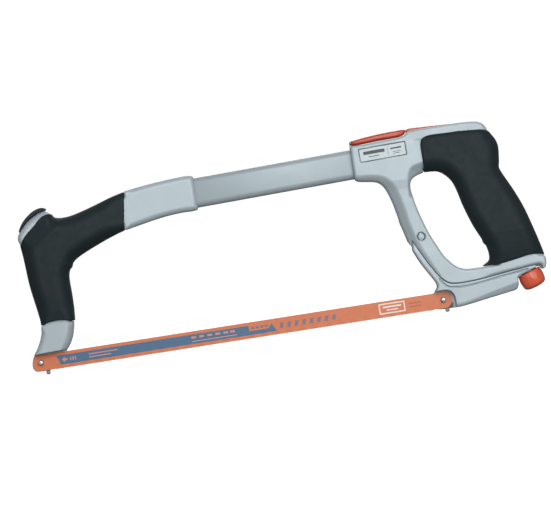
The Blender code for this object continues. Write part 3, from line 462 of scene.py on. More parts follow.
def skin(name, field, low, high, step, reach=0.2):
    """A smooth mesh over a field's zero surface: one vertex in each cell that it crosses, settled onto it."""
    low = np.array(low, float) - 2 * step
    high = np.array(high, float) + 2 * step
    shape = np.ceil((high - low) / step).astype(int) + 1
    x, y, z = (low[axis] + step * np.arange(shape[axis]) for axis in range(3))
    value = field(x[:, None, None], y[None, :, None], z[None, None, :])
    inside = value < 0
    count = np.zeros(shape - 1, np.int8)
    for i, j, k in np.ndindex(2, 2, 2):
        count += inside[i:shape[0] - 1 + i, j:shape[1] - 1 + j, k:shape[2] - 1 + k]
    active = (count > 0) & (count < 8)
    cells = np.argwhere(active)
    total = np.zeros(cells.shape)
    hits = np.zeros(len(cells))
    for axis in range(3):
        for shift in np.ndindex(2, 2):
            offset = np.insert(shift, axis, 0)
            first = value[tuple((cells + offset).T)]
            second = value[tuple((cells + offset + np.eye(3, dtype=int)[axis]).T)]
            crosses = (first < 0) != (second < 0)
            way = first[crosses] / (first[crosses] - second[crosses])
            total[crosses] += offset + way[:, None] * np.eye(3)[axis]
            hits[crosses] += 1
    points = low + step * (cells + total / hits[:, None])
    number = np.full(shape - 1, -1)
    number[active] = np.arange(len(cells))
    faces = [quads_along(axis, inside, number) for axis in range(3)]
    for _ in range(SETTLE_ROUNDS):
        values, slope = field_values(field, points), field_slope(field, points)
        move = -(values / np.maximum((slope**2).sum(axis=1), 0.05))[:, None] * slope
        points += np.clip(move, -SETTLE_REACH * step, SETTLE_REACH * step)
    slope = field_slope(field, points, reach)
    normals = slope / np.maximum(np.linalg.norm(slope, axis=1), 1e-6)[:, None]
    return mesh_from(name, points, np.concatenate(faces), normals)


def quads_along(axis, inside, number):
    """A face round each grid edge along that axis which the surface crosses, turned to face out."""
    u, v = (axis + 1) % 3, (axis + 2) % 3
    ends = [slice(None)] * 3
    starts = [slice(None)] * 3
    ends[axis], starts[axis] = slice(1, None), slice(None, -1)
    for side in (u, v):
        ends[side] = starts[side] = slice(1, -1)
    first, second = inside[tuple(starts)], inside[tuple(ends)]
    spots = np.argwhere(first != second)
    outward = first[tuple(spots.T)]
    corner = spots.copy()
    corner[:, u] += 1
    corner[:, v] += 1
    around = []
    for back_u, back_v in ((1, 1), (0, 1), (0, 0), (1, 0)):
        cell = corner.copy()
        cell[:, u] -= back_u
        cell[:, v] -= back_v
        around.append(number[tuple(cell.T)])
    quads = np.stack(around, axis=1)
    quads[~outward] = quads[~outward][:, ::-1]
    return quads


def mesh_from(name, points, faces, normals=None):
    """A mesh in the saw's own frame from points in millimetres."""
    mesh = bpy.data.meshes.new(name)
    places = points * MM + np.array(HOME)
    mesh.from_pydata(places.tolist(), [], faces.tolist())
    mesh.validate()
    mesh.shade_smooth()
    if normals is not None and len(mesh.vertices) == len(normals):
        mesh.normals_split_custom_set_from_vertices(normals.tolist())
    return mesh


# ---------------------------------------------------------------- turned and flat meshes

def grid_faces(rows, columns, first=0):
    """Quads between rings of vertices, each closed round."""
    faces = []
    for row in range(rows - 1):
        for column in range(columns):
            after = (column + 1) % columns
            a, b = first + row * columns, first + (row + 1) * columns
            faces.append((a + column, a + after, b + after, b + column))
    return faces


def turned(profile, steps=40, radius_change=None, closed_ends=True):
    """Points and faces turned round the z axis from (radius, height) pairs, from the bottom up."""
    points, faces = [], grid_faces(len(profile), steps)
    for radius, height in profile:
        for step in range(steps):
            angle = 2 * math.pi * step / steps
            r = radius + (radius_change(radius, height, angle) if radius_change else 0)
            points.append((r * math.cos(angle), r * math.sin(angle), height))
    if closed_ends:
        faces.append(tuple(reversed(range(steps))))
        faces.append(tuple(range((len(profile) - 1) * steps, len(profile) * steps)))
    else:
        last = (len(profile) - 1) * steps
        for column in range(steps):
            after = (column + 1) % steps
            faces.append((last + column, last + after, after, column))
    return points, faces


def turned_mesh(name, parts, start, way, sharp=35):
    """Turned parts joined in one mesh, standing on start with their z axis along way."""
    turn = Vector((0, 0, 1)).rotation_difference(Vector(way)).to_matrix()
    points, faces = [], []
    for part_points, part_faces in parts:
        faces += [tuple(index + len(points) for index in face) for face in part_faces]
        points += [Vector(start) + turn @ Vector(point) for point in part_points]
    mesh = bpy.data.meshes.new(name)
    mesh.from_pydata([place(*point) for point in points], [], faces)
    mesh.shade_smooth()
    mesh.set_sharp_from_angle(angle=math.radians(sharp))
    return mesh


def pin_profile(radius, low, high, chamfer=0.35):
    inner = radius - chamfer
    return [(inner, low), (radius, low + chamfer), (radius, high - chamfer), (inner, high)]


def domed_profile(radius, low, high, dome, chamfer=0.3):
    """A pin with a chamfered foot and a gently domed head at the top."""
    profile = [(radius - chamfer, low), (radius, low + chamfer), (radius, high - dome - 0.2)]
    for step in range(1, 7):
        angle = math.radians(15 * step - 2)
        profile.append((radius * math.cos(angle), high - dome + dome * math.sin(angle)))
    return profile


# ---------------------------------------------------------------- node materials

def add_node(tree, kind, inputs=None, **settings):
    """A node with its settings; each input is a value or another node's output."""
    node = tree.nodes.new(kind)
    for key, value in settings.items():
        setattr(node, key, value)
    for key, value in (inputs or {}).items():
        if isinstance(value, bpy.types.NodeSocket):
            tree.links.new(value, node.inputs[key])
        else:
            node.inputs[key].default_value = value
    return node


def calc(tree, operation, first, second=0.0):
    return add_node(tree, "ShaderNodeMath", {0: first, 1: second}, operation=operation).outputs[0]


def product(tree, *values):
    result = values[0]
    for value in values[1:]:
        result = calc(tree, "MULTIPLY", result, value)
    return result


def mixed(tree, factor, first, second):
    node = add_node(tree, "ShaderNodeMix", {0: factor, 6: first, 7: second}, data_type="RGBA")
    return node.outputs[2]


def noise(tree, place_socket, scale, detail=3.0, stretch=None):
    if stretch:
        mapping = add_node(tree, "ShaderNodeMapping", {"Vector": place_socket, "Scale": stretch})
        place_socket = mapping.outputs["Vector"]
    inputs = {"Vector": place_socket, "Scale": scale, "Detail": detail}
    return add_node(tree, "ShaderNodeTexNoise", inputs).outputs["Fac"]


def ranged(tree, value, low, high):
    inputs = {"Value": value, "To Min": low, "To Max": high}
    return add_node(tree, "ShaderNodeMapRange", inputs).outputs["Result"]


def new_material(name, metallic=0.0, coat=0.0, coat_roughness=0.1, specular=0.5, sheen=0.0):
    mat = bpy.data.materials.new(name)
    mat.use_nodes = True
    shader = mat.node_tree.nodes["Principled BSDF"]
    shader.inputs["Metallic"].default_value = metallic
    shader.inputs["Coat Weight"].default_value = coat
    shader.inputs["Coat Roughness"].default_value = coat_roughness
    shader.inputs["Specular IOR Level"].default_value = specular
    shader.inputs["Sheen Weight"].default_value = sheen
    return mat, mat.node_tree, shader


def object_place(tree):
    return add_node(tree, "ShaderNodeTexCoord").outputs["Object"]


def bumped(tree, shader, height, strength, distance):
    bump = add_node(tree, "ShaderNodeBump", {"Height": height, "Strength": strength, "Distance": distance})
    tree.links.new(bump.outputs["Normal"], shader.inputs["Normal"])


def linear(red, green, blue):
    """A colour given in display values from 0 to 255, as the linear values that a shader takes."""
    values = []
    for value in (red, green, blue):
        value /= 255
        values.append(value / 12.92 if value <= 0.04045 else ((value + 0.055) / 1.055) ** 2.4)
    return (*values, 1.0)


def shade(colour, factor):
    return tuple(min(1.0, part * factor) for part in colour[:3]) + (1.0,)


def painted_casting(name, colour):
    """Satin silver-blue paint over a casting: soft cloudiness, fine flake and a little orange peel."""
    mat, tree, shader = new_material(name, metallic=0.12, specular=0.42)
    at = object_place(tree)
    cloud = noise(tree, at, 45.0, 2.0)
    flake = noise(tree, at, 3200.0, 1.0)
    base = mixed(tree, ranged(tree, cloud, 0.0, 1.0), shade(colour, 0.94), shade(colour, 1.06))
    base = mixed(tree, ranged(tree, flake, -0.1, 0.5), base, shade(colour, 1.16))
    tree.links.new(base, shader.inputs["Base Color"])
    tree.links.new(ranged(tree, noise(tree, at, 160.0), 0.36, 0.5), shader.inputs["Roughness"])
    bumped(tree, shader, noise(tree, at, 900.0, 2.0), 0.1, 0.0001)
    return mat


def soft_rubber(name, colour):
    """Matte moulded rubber with a fine pebbled skin and a few pale specks of dust."""
    mat, tree, shader = new_material(name, specular=0.24, sheen=0.02)
    at = object_place(tree)
    cloud = noise(tree, at, 60.0, 4.0)
    speck = add_node(tree, "ShaderNodeTexVoronoi", {"Vector": at, "Scale": 420.0}).outputs["Distance"]
    dust = calc(tree, "LESS_THAN", speck, 0.09)
    base = mixed(tree, ranged(tree, cloud, 0.0, 1.0), shade(colour, 0.82), shade(colour, 1.2))
    base = mixed(tree, product(tree, dust, 0.35), base, shade(colour, 4.0))
    tree.links.new(base, shader.inputs["Base Color"])
    tree.links.new(ranged(tree, noise(tree, at, 220.0), 0.5, 0.72), shader.inputs["Roughness"])
    bumped(tree, shader, noise(tree, at, 1500.0, 2.0), 0.35, 0.00015)
    return mat


def glossy_plastic(name, colour, coat=0.25):
    """Moulded orange plastic, glossy with faint sink marks."""
    mat, tree, shader = new_material(name, coat=coat, coat_roughness=0.12, specular=0.4)
    at = object_place(tree)
    base = mixed(tree, noise(tree, at, 90.0, 2.0), shade(colour, 0.92), shade(colour, 1.08))
    tree.links.new(base, shader.inputs["Base Color"])
    tree.links.new(ranged(tree, noise(tree, at, 240.0), 0.26, 0.4), shader.inputs["Roughness"])
    bumped(tree, shader, noise(tree, at, 300.0, 1.0), 0.08, 0.0002)
    return mat


def bright_steel(name, colour, stretch=(1.0, 1.0, 1.0), roughness=0.24, metallic=1.0):
    """Zinc-plated or machined steel with fine marks along one direction."""
    mat, tree, shader = new_material(name, metallic=metallic)
    at = object_place(tree)
    marks = noise(tree, at, 900.0, 3.0, stretch)
    tree.links.new(mixed(tree, marks, shade(colour, 0.86), shade(colour, 1.1)), shader.inputs["Base Color"])
    tree.links.new(ranged(tree, marks, roughness, roughness + 0.16), shader.inputs["Roughness"])
    bumped(tree, shader, marks, 0.06, 0.00005)
    return mat


# ---------------------------------------------------------------- the blade's print

def within(tree, value, low, high):
    return product(tree, calc(tree, "GREATER_THAN", value, low), calc(tree, "LESS_THAN", value, high))


def area(tree, x, z, x_low, x_high, z_low, z_high):
    return product(tree, within(tree, x, x_low, x_high), within(tree, z, z_low, z_high))


def either(tree, *masks):
    result = masks[0]
    for mask in masks[1:]:
        result = calc(tree, "MAXIMUM", result, mask)
    return result


def bars(tree, x, z, table):
    return either(tree, *[area(tree, x, z, *bar) for bar in table])


def blade_paint(name):
    """Orange paint with a blue band, plain bars in place of its printing, and bare steel at the teeth."""
    mat, tree, shader = new_material(name, coat=0.1, coat_roughness=0.25, specular=0.4)
    at = object_place(tree)
    flat = add_node(tree, "ShaderNodeAttribute", attribute_name="blade_place").outputs["Vector"]
    split = add_node(tree, "ShaderNodeSeparateXYZ", {"Vector": flat})
    x, y, z = (split.outputs[axis] for axis in ("X", "Y", "Z"))
    near_side = calc(tree, "LESS_THAN", y, 0.0)
    lean = calc(tree, "MULTIPLY", z, 0.33)
    front = calc(tree, "GREATER_THAN", calc(tree, "ADD", x, lean), 12.9)
    back = calc(tree, "LESS_THAN", calc(tree, "ADD", x, calc(tree, "MULTIPLY", z, 0.5)), 173.4)
    band = product(tree, front, back, within(tree, z, -3.8, 3.2))
    from_arrow = calc(tree, "SUBTRACT", x, 15.4)
    above_arrow = calc(tree, "ABSOLUTE", calc(tree, "ADD", z, 0.3))
    arrow_tip = product(tree, within(tree, x, 15.4, 17.6), calc(tree, "LESS_THAN", above_arrow, from_arrow))
    pale = either(tree, arrow_tip, bars(tree, x, z, PALE_BARS))
    right_of = calc(tree, "ADD", 169.5, calc(tree, "MULTIPLY", calc(tree, "ADD", z, 0.9), 0.79))
    notch = product(tree, within(tree, x, 155.0, right_of), within(tree, z, -0.9, 3.3))
    leaning = calc(tree, "SUBTRACT", x, calc(tree, "MULTIPLY", z, 0.3))
    blue_marks = either(tree, bars(tree, leaning, z, LEANING_BARS), bars(tree, x, z, NOTCH_BARS))
    inner = area(tree, x, z, 252.9, 270.5, -3.0, 3.0)
    badge = product(tree, area(tree, x, z, 252.0, 271.4, -3.9, 3.9), calc(tree, "SUBTRACT", 1.0, inner))
    badge = either(tree, badge, bars(tree, x, z, BADGE_BARS))
    orange, blue = linear(210, 116, 72), linear(66, 104, 138)
    grain = noise(tree, at, 700.0, 2.0, (0.3, 1.0, 1.0))
    base = mixed(tree, grain, shade(orange, 0.93), shade(orange, 1.07))
    base = mixed(tree, product(tree, near_side, band), base, blue)
    base = mixed(tree, product(tree, near_side, band, pale, 0.75), base, linear(222, 150, 128))
    base = mixed(tree, product(tree, near_side, notch), base, orange)
    base = mixed(tree, product(tree, near_side, blue_marks, 0.75), base, blue)
    base = mixed(tree, product(tree, near_side, badge, 0.9), base, linear(242, 234, 228))
    base = mixed(tree, product(tree, near_side, bars(tree, x, z, DARK_BARS), 0.6), base, linear(120, 66, 60))
    bare = calc(tree, "LESS_THAN", calc(tree, "ADD", z, calc(tree, "MULTIPLY", grain, 0.5)), -6.15)
    teeth = product(tree, bare, within(tree, x, 9.6, 291.4))
    base = mixed(tree, teeth, base, linear(150, 142, 138))
    tree.links.new(base, shader.inputs["Base Color"])
    tree.links.new(product(tree, teeth, 0.9), shader.inputs["Metallic"])
    tree.links.new(ranged(tree, noise(tree, at, 200.0), 0.34, 0.46), shader.inputs["Roughness"])
    bumped(tree, shader, grain, 0.08, 0.00005)
    return mat


CASTING = painted_casting("silver_blue_paint", linear(168, 181, 187))
# The tube has the casting's silver-blue paint made darker: shade painted into its colour, because the tube's
# top catches more of the light from above.
SHADED_TUBE_PAINT = painted_casting("shaded_tube_paint", linear(158, 171, 176))
RUBBER = soft_rubber("moulded_rubber", linear(25, 37, 41))
PAD_RUBBER = soft_rubber("nose_pad_rubber", linear(41, 47, 50))
KNOB_PLASTIC = glossy_plastic("knob_plastic", linear(214, 92, 62))
# The lid and the strip have the knob's orange plastic made darker and redder: shade painted into its colour,
# because the lid's top faces the light from above.
SHADED_ORANGE_PLASTIC = glossy_plastic("shaded_orange_plastic", linear(184, 58, 24), coat=0.1)
STEEL = bright_steel("zinc_steel", linear(214, 216, 216), metallic=0.55)
SCREW_STEEL = bright_steel("screw_steel", linear(190, 192, 194), roughness=0.3)
LABEL_METAL = bright_steel("label_metal", linear(180, 190, 193), (1.0, 1.0, 14.0), 0.4, 0.25)
LABEL_INK = painted_casting("label_ink", linear(58, 64, 68))
BLADE_PAINT = blade_paint("blade_paint")


# ---------------------------------------------------------------- placing pieces

def add_piece(name, mesh, material, body, slot, *nodes):
    """A piece that rides on a body, with the CAD nodes that it stands for; slot is not used."""
    obj = bpy.data.objects.new(name, mesh)
    bpy.context.scene.collection.objects.link(obj)
    mesh.materials.append(material)
    if body:
        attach(obj, body)
    if nodes:
        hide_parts(*nodes)
    return obj


# ---------------------------------------------------------------- castings and rubbers

def handle_solid():
    """The handle casting before its bores and pockets, with the core that its rubber is moulded round."""
    outer, hole = Plan(HANDLE), Plan(HAND_HOLE)
    post_bevel, hole_bevel, seam = Plan(POST_BEVEL), Plan(HOLE_BEVEL), Plan(SEAM, closed=False)
    ridge_xs, ridge_halves = (292.0, 305.0, 335.0, 347.0, 351.0), (10.9, 9.0, 8.4, 7.2, 6.0)
    core_zs, core_halves = (16.0, 22.0, 27.0, 34.0, 45.0, 60.0), (10.5, 10.5, 10.8, 11.5, 12.0, 12.2)
    post_zs, post_halves = (8.0, 15.0, 30.0, 50.0, 66.0, 85.0, 92.0), (10.5, 10.4, 10.2, 9.8, 9.8, 10.2, 10.9)

    def field(x, y, z):
        flat = smooth_max(outer(x, z), -hole(x, z), 0.4)
        post = np.interp(z, post_zs, post_halves)
        core = np.interp(z, core_zs, core_halves)
        covered = blended(x - 0.36 * (90 - np.minimum(z, 90)), 300.5, 311.0)
        half = post + (core - post) * covered
        ridge = np.interp(x, ridge_xs, ridge_halves)
        ridge_foot = 117.5 - 5.0 * blended(x, 335.0, 347.0)
        half = half + (np.minimum(half, ridge) - half) * blended(z, ridge_foot, ridge_foot + 3.0)
        half = half - fallen(post_bevel(x, z), 0.8, 1.6) - fallen(hole_bevel(x, z), 0.85, 1.0)
        hidden = covered * blended(z, 19.0, 27.0) * (1 - blended(z, 112.0, 118.0))
        crisp = 1.5 * (1 - blended(seam(x, z), 0.8, 3.0)) * (1 - covered)
        return plate(flat, y, half, 2.2 + 5.0 * hidden - crisp, 2.0 + 6.0 * hidden - crisp)

    return field


def handle_casting(solid):
    channel, inlay, rib, lip = Plan(CHANNEL), Plan(INLAY), Plan(LEVER_RIB), Plan(NOSE_LIP)
    lug_x, lug_z = LID_HINGE
    nut_at = (SCREW_FOOT[0] + NUT_ALONG * SCREW_WAY[0], SCREW_FOOT[1] + NUT_ALONG * SCREW_WAY[2])
    label_plan = Plan([(*corner, SHARP) for corner in grown(LABEL, 0.5)], margin=6.0)

    def field(x, y, z):
        value = solid(x, y, z)
        # The lid's hinge lug, then the tube's socket and the mouth of the blade store.
        lug = np.maximum(np.hypot(x - lug_x, np.maximum(z - lug_z, 0)) - 1.7, np.abs(y) - 4.2)
        value = united(value, np.maximum(lug, lug_z - 6 - z), 0.8)
        socket = np.maximum(tube_section(x, y, z, GAP), np.maximum(240 - x, x - TUBE_END - GAP))
        value = carved(value, socket, 0.7)
        mouth_low = (MOUTH_START, -MOUTH_HALF_WIDTH, MOUTH_FLOOR)
        value = carved(value, box(x, y, z, mouth_low, (288.0, MOUTH_HALF_WIDTH, 135.0)), 0.7)
        value = united(value, plate(lip(x, z), y, 3.1, 0.3, 0.3), 0.3)
        # Recesses for the label and the strip, then the lever's channel and the groove for its rib.
        value = carved(value, np.maximum(label_plan(x, z), y + 9.9), 0.25)
        value = carved(value, np.maximum(inlay(x, z) - GAP, np.abs(y) - 6.3), 0.4)
        value = carved(value, np.maximum(channel(x, z), np.abs(y) - 4.0), 0.5)
        value = carved(value, np.maximum(rib(x, z) - 0.7, np.abs(y) - 4.0), 0.5)
        # Dishes round the pivot pin's ends, and the bores for the pins, the screws and the cross nut.
        dish = across_rod(x, y, z, PIVOT, 3.3, high=-8.8)
        value = carved(value, np.minimum(dish, across_rod(x, y, z, PIVOT, 3.3, low=8.8)), 0.5)
        value = carved(value, across_rod(x, y, z, PIVOT, 2.8), 0.4)
        value = carved(value, across_rod(x, y, z, LID_HINGE, 1.1), 0.3)
        value = carved(value, upright_rod(x, y, z, REAR_SCREW_X, 2.3, 85, 101), 0.5)
        value = carved(value, rod(x, y, z, SCREW_START, SCREW_WAY, 3.3, -8, 46), 0.5)
        return carved(value, across_rod(x, y, z, nut_at, NUT_BORE), 0.4)

    mesh = skin("handle_casting", field, (249, -11, 9.8), (379.2, 11, 127.4), STEP)
    return add_piece("handle_casting", mesh, CASTING, "frame", "casting", "handle_frame")


def grown(corners, amount):
    """Four corners moved out from their middle by that much in x and in z."""
    middle_x = sum(x for x, z in corners) / 4
    middle_z = sum(z for x, z in corners) / 4
    return [
        (x + math.copysign(amount, x - middle_x), z + math.copysign(amount, z - middle_z)) for x, z in corners
    ]


def rear_rubber(solid):
    body, trim = Plan(REAR_RUBBER), Plan(REAR_TRIM)
    zs = (14.0, 20.6, 23.0, 28.0, 35.0, 43.0, 54.0, 72.0, 86.0)
    z_halves = (11.6, 12.1, 12.8, 13.8, 14.8, 15.6, 15.9, 15.8, 15.5)
    xs, x_halves = (298.0, 302.0, 306.0, 312.0, 323.0), (13.4, 14.0, 14.6, 15.1, 15.6)

    def field(x, y, z):
        half = np.minimum(np.interp(z, zs, z_halves), np.interp(x, xs, x_halves))
        value = plate(body(x, z), y, half, 10.5, 11.5)
        value = smooth_max(value, trim(x, z), 1.6)
        return carved(value, solid(x, y, z) - GAP, 0.3)

    mesh = skin("rear_rubber", field, (299.8, -16, 17), (380, 16, 122), STEP)
    return add_piece("rear_rubber", mesh, RUBBER, "frame", "rubber", "rear_grip")


def bow_solid():
    """The bow casting before its bores and pockets, with the core inside its rubber."""
    outer, bevel = Plan(BOW), Plan(BOW_BEVEL)
    xs = (22.0, 34.0, 59.0, 69.0, 76.0, 82.0, 90.0, 100.0, 110.0, 120.0, 132.0)
    x_halves = (11.4, 11.6, 11.2, 10.8, 10.4, 10.2, 9.9, 9.6, 9.4, 9.2, 9.0)
    zs = (-7.0, 2.4, 10.0, 20.0, 27.0, 40.0, 50.0, 68.0, 83.0, 90.0, 96.0, 103.0, 109.0)
    z_halves = (9.1, 9.2, 9.4, 9.8, 10.0, 10.8, 11.2, 11.6, 11.4, 10.6, 9.9, 8.6, 7.0)

    def field(x, y, z):
        on_arm = blended(x, 26.0, 38.0)
        half = np.interp(x, xs, x_halves) * on_arm + np.interp(z, zs, z_halves) * (1 - on_arm)
        half = half - fallen(bevel(x, z), 0.6, 1.2)
        arm_seam = 75.0 + 0.16 * (z - 86.0)
        hidden = blended(z, 28.0, 36.0) * (1 - blended(x - arm_seam, -1.5, 0.5))
        hidden = hidden * (1 - blended(z - 0.79 * x, 80.0, 87.0))
        by_arm_seam = (1 - blended(np.abs(x - arm_seam), 1.5, 7.0)) * blended(z, 70.0, 80.0)
        by_low_seam = 1 - blended(np.abs(z - 27.0), 1.5, 7.0)
        edge = 4.0 + 4.0 * hidden - 2.2 * np.maximum(by_arm_seam, by_low_seam)
        return plate(outer(x, z), y, half - 1.2 * hidden, edge, edge)

    return field


def bow_casting(solid):
    def field(x, y, z):
        value = solid(x, y, z)
        socket = np.maximum(tube_section(x, y, z, GAP), np.maximum(TUBE_START - GAP - x, x - 140))
        value = carved(value, socket, 0.7)
        value = carved(value, upright_rod(x, y, z, FRONT_SCREW_X, 2.3, 85, 97), 0.5)
        # The blade's seat, open to the near side.
        seat_top = np.interp(x, (-6.0, 10.0, 19.0, 24.0), (6.1, 6.7, 7.0, 7.0))
        seat = np.maximum(z - seat_top, np.maximum(y - SEAT_Y, x - 30))
        value = carved(value, seat, 0.5)
        return blade_holder(value, x, y, z, 0.0, FRONT_ANGLE_X, 40.0)

    mesh = skin("bow_casting", field, (-7.2, -12, -7.4), (132.6, 12, 119.6), STEP)
    return add_piece("bow_casting", mesh, CASTING, "frame", "casting", "front_bow")


def front_rubber(solid):
    body, trim = Plan(FRONT_RUBBER), Plan(FRONT_TRIM)
    xs, x_halves = (34.0, 42.0, 50.0, 60.0, 70.0, 78.0), (15.0, 15.0, 14.6, 13.8, 12.9, 12.2)
    zs = (24.0, 30.0, 36.0, 45.0, 54.0, 66.0, 78.0)
    z_halves = (11.8, 12.8, 13.8, 14.6, 15.0, 15.2, 15.2)
    nose_way = (0.622, -0.783)

    def field(x, y, z):
        on_arm = blended(x, 28.0, 42.0)
        half = np.interp(x, xs, x_halves) * on_arm + np.interp(z, zs, z_halves) * (1 - on_arm)
        from_nose = (x + 1.8) * nose_way[0] + (z - 88.0) * nose_way[1]
        half = np.minimum(half, 12.0 + 0.3 * np.maximum(from_nose, -1))
        by_nose, by_low_seam = 1 - blended(from_nose, 0.0, 9.0), 1 - blended(z, 27.0, 40.0)
        squareness = np.maximum(blended(x, 58.0, 76.0), np.maximum(by_nose, by_low_seam))
        value = plate(body(x, z), y, half, 10.5 - 4.5 * squareness, 11.0 - 5.0 * squareness)
        value = smooth_max(value, trim(x, z), 0.8)
        return carved(value, solid(x, y, z) - GAP, 0.3)

    mesh = skin("front_rubber", field, (-2.4, -15.6, 25.6), (80, 15.6, 115.4), STEP)
    return add_piece("front_rubber", mesh, RUBBER, "frame", "rubber", "front_grip")


def washer_pocket(x, y, z):
    """The space under the lever's tongue for the washer, open towards the saw's end."""
    from_x, from_z = x - SCREW_FOOT[0], z - SCREW_FOOT[1]
    along = from_z * math.cos(SCREW_LEAN) - from_x * math.sin(SCREW_LEAN)
    aside = from_x * math.cos(SCREW_LEAN) + from_z * math.sin(SCREW_LEAN)
    round_end = np.hypot(np.minimum(aside, 0), y) - 6.9
    return np.maximum(round_end, np.maximum(along - 1.75, -1.5 - along))


def lever_casting():
    outer, web, rib = Plan(LEVER), Plan(LEVER_WEB), Plan(LEVER_RIB)
    groove = Plan(LEVER_GROOVE, closed=False)
    bevel, seat_plan, seam = Plan(LEVER_BEVEL), Plan(LEVER_SEAT), Plan(SEAM, closed=False)
    leg_zs, leg_halves = (10.0, 17.0, 30.0, 37.0, 42.0, 46.0), (9.3, 9.2, 9.0, 8.8, 8.4, 7.8)
    xs, x_halves = (293.0, 300.0, 310.0, 350.0, 356.0, 362.0, 370.5), (9.2, 9.4, 9.6, 9.6, 9.3, 9.0, 8.4)

    def field(x, y, z):
        half = np.minimum(np.interp(z, leg_zs, leg_halves), np.interp(x, xs, x_halves))
        half = half - fallen(bevel(x, z), 0.55, 1.0)
        crisp = 1.1 * (1 - blended(seam(x, z), 0.8, 3.0))
        value = plate(outer(x, z), y, half, 1.6 - crisp, 1.8 - crisp)
        # A groove below the seam on both faces, then the web in the post's channel and the rib under the arm.
        dent = np.maximum(groove(x, z) - 0.6, half - 2.2 - np.abs(y))
        value = carved(value, dent, 0.3)
        value = united(value, plate(web(x, z), y, 3.6, 0.6, 0.6), 0.8)
        value = united(value, plate(rib(x, z), y, 3.3, 0.5, 0.5), 0.5)
        # The blade's seat, the pivot's bore, and the room for the washer and for the screw.
        flare = 0.05 * np.maximum(-y, 0)
        value = carved(value, np.maximum(seat_plan(x, z) - flare, y - SEAT_Y), 0.4)
        value = carved(value, across_rod(x, y, z, PIVOT, 2.6), 0.3)
        value = carved(value, washer_pocket(x, y, z), 0.3)
        value = carved(value, box(x, y, z, (360.6, -3.6, 5.0), (390.0, 3.6, 25.0)), 0.5)
        return blade_holder(value, x, y, z, BLADE_HOLES, REAR_ANGLE_X, 306.5)

    mesh = skin("lever_casting", field, (280.6, -10, -7.6), (371, 10, 53.4), 0.65 * STEP)
    return add_piece("lever_casting", mesh, CASTING, "lever", "casting", "tension_lever")


def small_plates():
    """The nose pad, the storage lid and the strip behind it."""
    pad, lid, inlay = Plan(NOSE_PAD, margin=5.0), Plan(LID, margin=5.0), Plan(INLAY, margin=5.0)

    def pad_field(x, y, z):
        return plate(pad(x, z), y, 7.0 + 0 * x, 0.7, 1.6)

    def lid_field(x, y, z):
        half = np.interp(x, (249.0, 254.0, 270.0, 285.0, 291.6), (6.8, 7.4, 7.6, 7.5, 6.6))
        value = plate(lid(x, z), y, half, 1.5, 2.4)
        hinge_gap = box(x, y, z, (240.0, -MOUTH_HALF_WIDTH, 110.0), (253.3, MOUTH_HALF_WIDTH, 135.0))
        value = carved(value, hinge_gap, 0.4)
        return carved(value, across_rod(x, y, z, LID_HINGE, 1.1, -6.4, 6.4), 0.3)

    def inlay_field(x, y, z):
        half = np.interp(x, (292.0, 300.0, 327.0), (6.0, 5.8, 4.4))
        return plate(inlay(x, z), y, half, 0.35, 0.8)

    pad_mesh = skin("nose_pad_moulding", pad_field, (-1.6, -7, 96.6), (21.2, 7, 112.9), FINE_STEP, 0.5)
    add_piece("nose_pad_moulding", pad_mesh, PAD_RUBBER, "frame", "rubber", "nose_pad")
    lid_mesh = skin("lid_moulding", lid_field, (249, -7.6, 122), (292, 7.6, 128.6), FINE_STEP, 0.5)
    add_piece("lid_moulding", lid_mesh, SHADED_ORANGE_PLASTIC, "lid", "orange_plastic", "storage_lid")
    inlay_mesh = skin("inlay_strip", inlay_field, (292.4, -6, 124), (327.2, 6, 128.5), 0.75 * FINE_STEP, 0.4)
    add_piece("inlay_strip", inlay_mesh, SHADED_ORANGE_PLASTIC, "frame", "orange_plastic", "top_inlay")


# ---------------------------------------------------------------- tube, label and blade

def section_points(x, grow, steps=8):
    """The tube's section at x, going round once."""
    corner = TUBE_CORNER + grow
    points = []
    for quarter, (side_z, side_y) in enumerate(((1, 1), (-1, 1), (-1, -1), (1, -1))):
        for step in range(steps + 1):
            angle = math.radians(90 * (quarter + step / steps))
            up = side_z * (TUBE_HALF_HEIGHT + grow - corner) + corner * math.cos(angle)
            aside = side_y * (TUBE_HALF_WIDTH + grow - corner) + corner * math.sin(angle)
            points.append((x, aside, tube_axis_z(x) + up))
    return points


def frame_tube():
    """The box-section tube with softened ends, open inside, and the mouth that spare blades go through."""
    rings = [
        (TUBE_START + 0.4, 0.0), (TUBE_START, -0.3),
        (TUBE_START, 0.3 - TUBE_WALL), (TUBE_START + 0.4, -TUBE_WALL),
        (TUBE_END - 0.4, -TUBE_WALL), (TUBE_END, 0.3 - TUBE_WALL),
        (TUBE_END, -0.3), (TUBE_END - 0.4, 0.0),
    ]
    loops = [section_points(x, grow) for x, grow in rings]
    count = len(loops[0])
    points = [point for loop in loops for point in loop]
    faces = grid_faces(len(loops), count)
    last = (len(loops) - 1) * count
    faces += [(last + i, last + (i + 1) % count, (i + 1) % count, i) for i in range(count)]
    mesh = bpy.data.meshes.new("frame_tube")
    mesh.from_pydata([place(*point) for point in points], [], faces)
    outward(mesh)
    mouth = bpy.data.meshes.new("tube_mouth")
    sides_y = (-MOUTH_HALF_WIDTH, MOUTH_HALF_WIDTH)
    corners = [(x, y, z) for x in (MOUTH_START, 293.0) for y in sides_y for z in (MOUTH_FLOOR, 130.0)]
    sides = [(0, 1, 3, 2), (4, 6, 7, 5), (0, 4, 5, 1), (2, 3, 7, 6), (0, 2, 6, 4), (1, 5, 7, 3)]
    mouth.from_pydata([place(*corner) for corner in corners], [], sides)
    outward(mouth)
    mesh = cut_out(mesh, mouth)
    mesh.shade_smooth()
    mesh.set_sharp_from_angle(angle=math.radians(40))
    return add_piece("frame_tube", mesh, SHADED_TUBE_PAINT, "frame", "casting", "top_tube")


def outward(mesh):
    bm = bmesh.new()
    bm.from_mesh(mesh)
    bmesh.ops.recalc_face_normals(bm, faces=bm.faces)
    bm.to_mesh(mesh)
    bm.free()


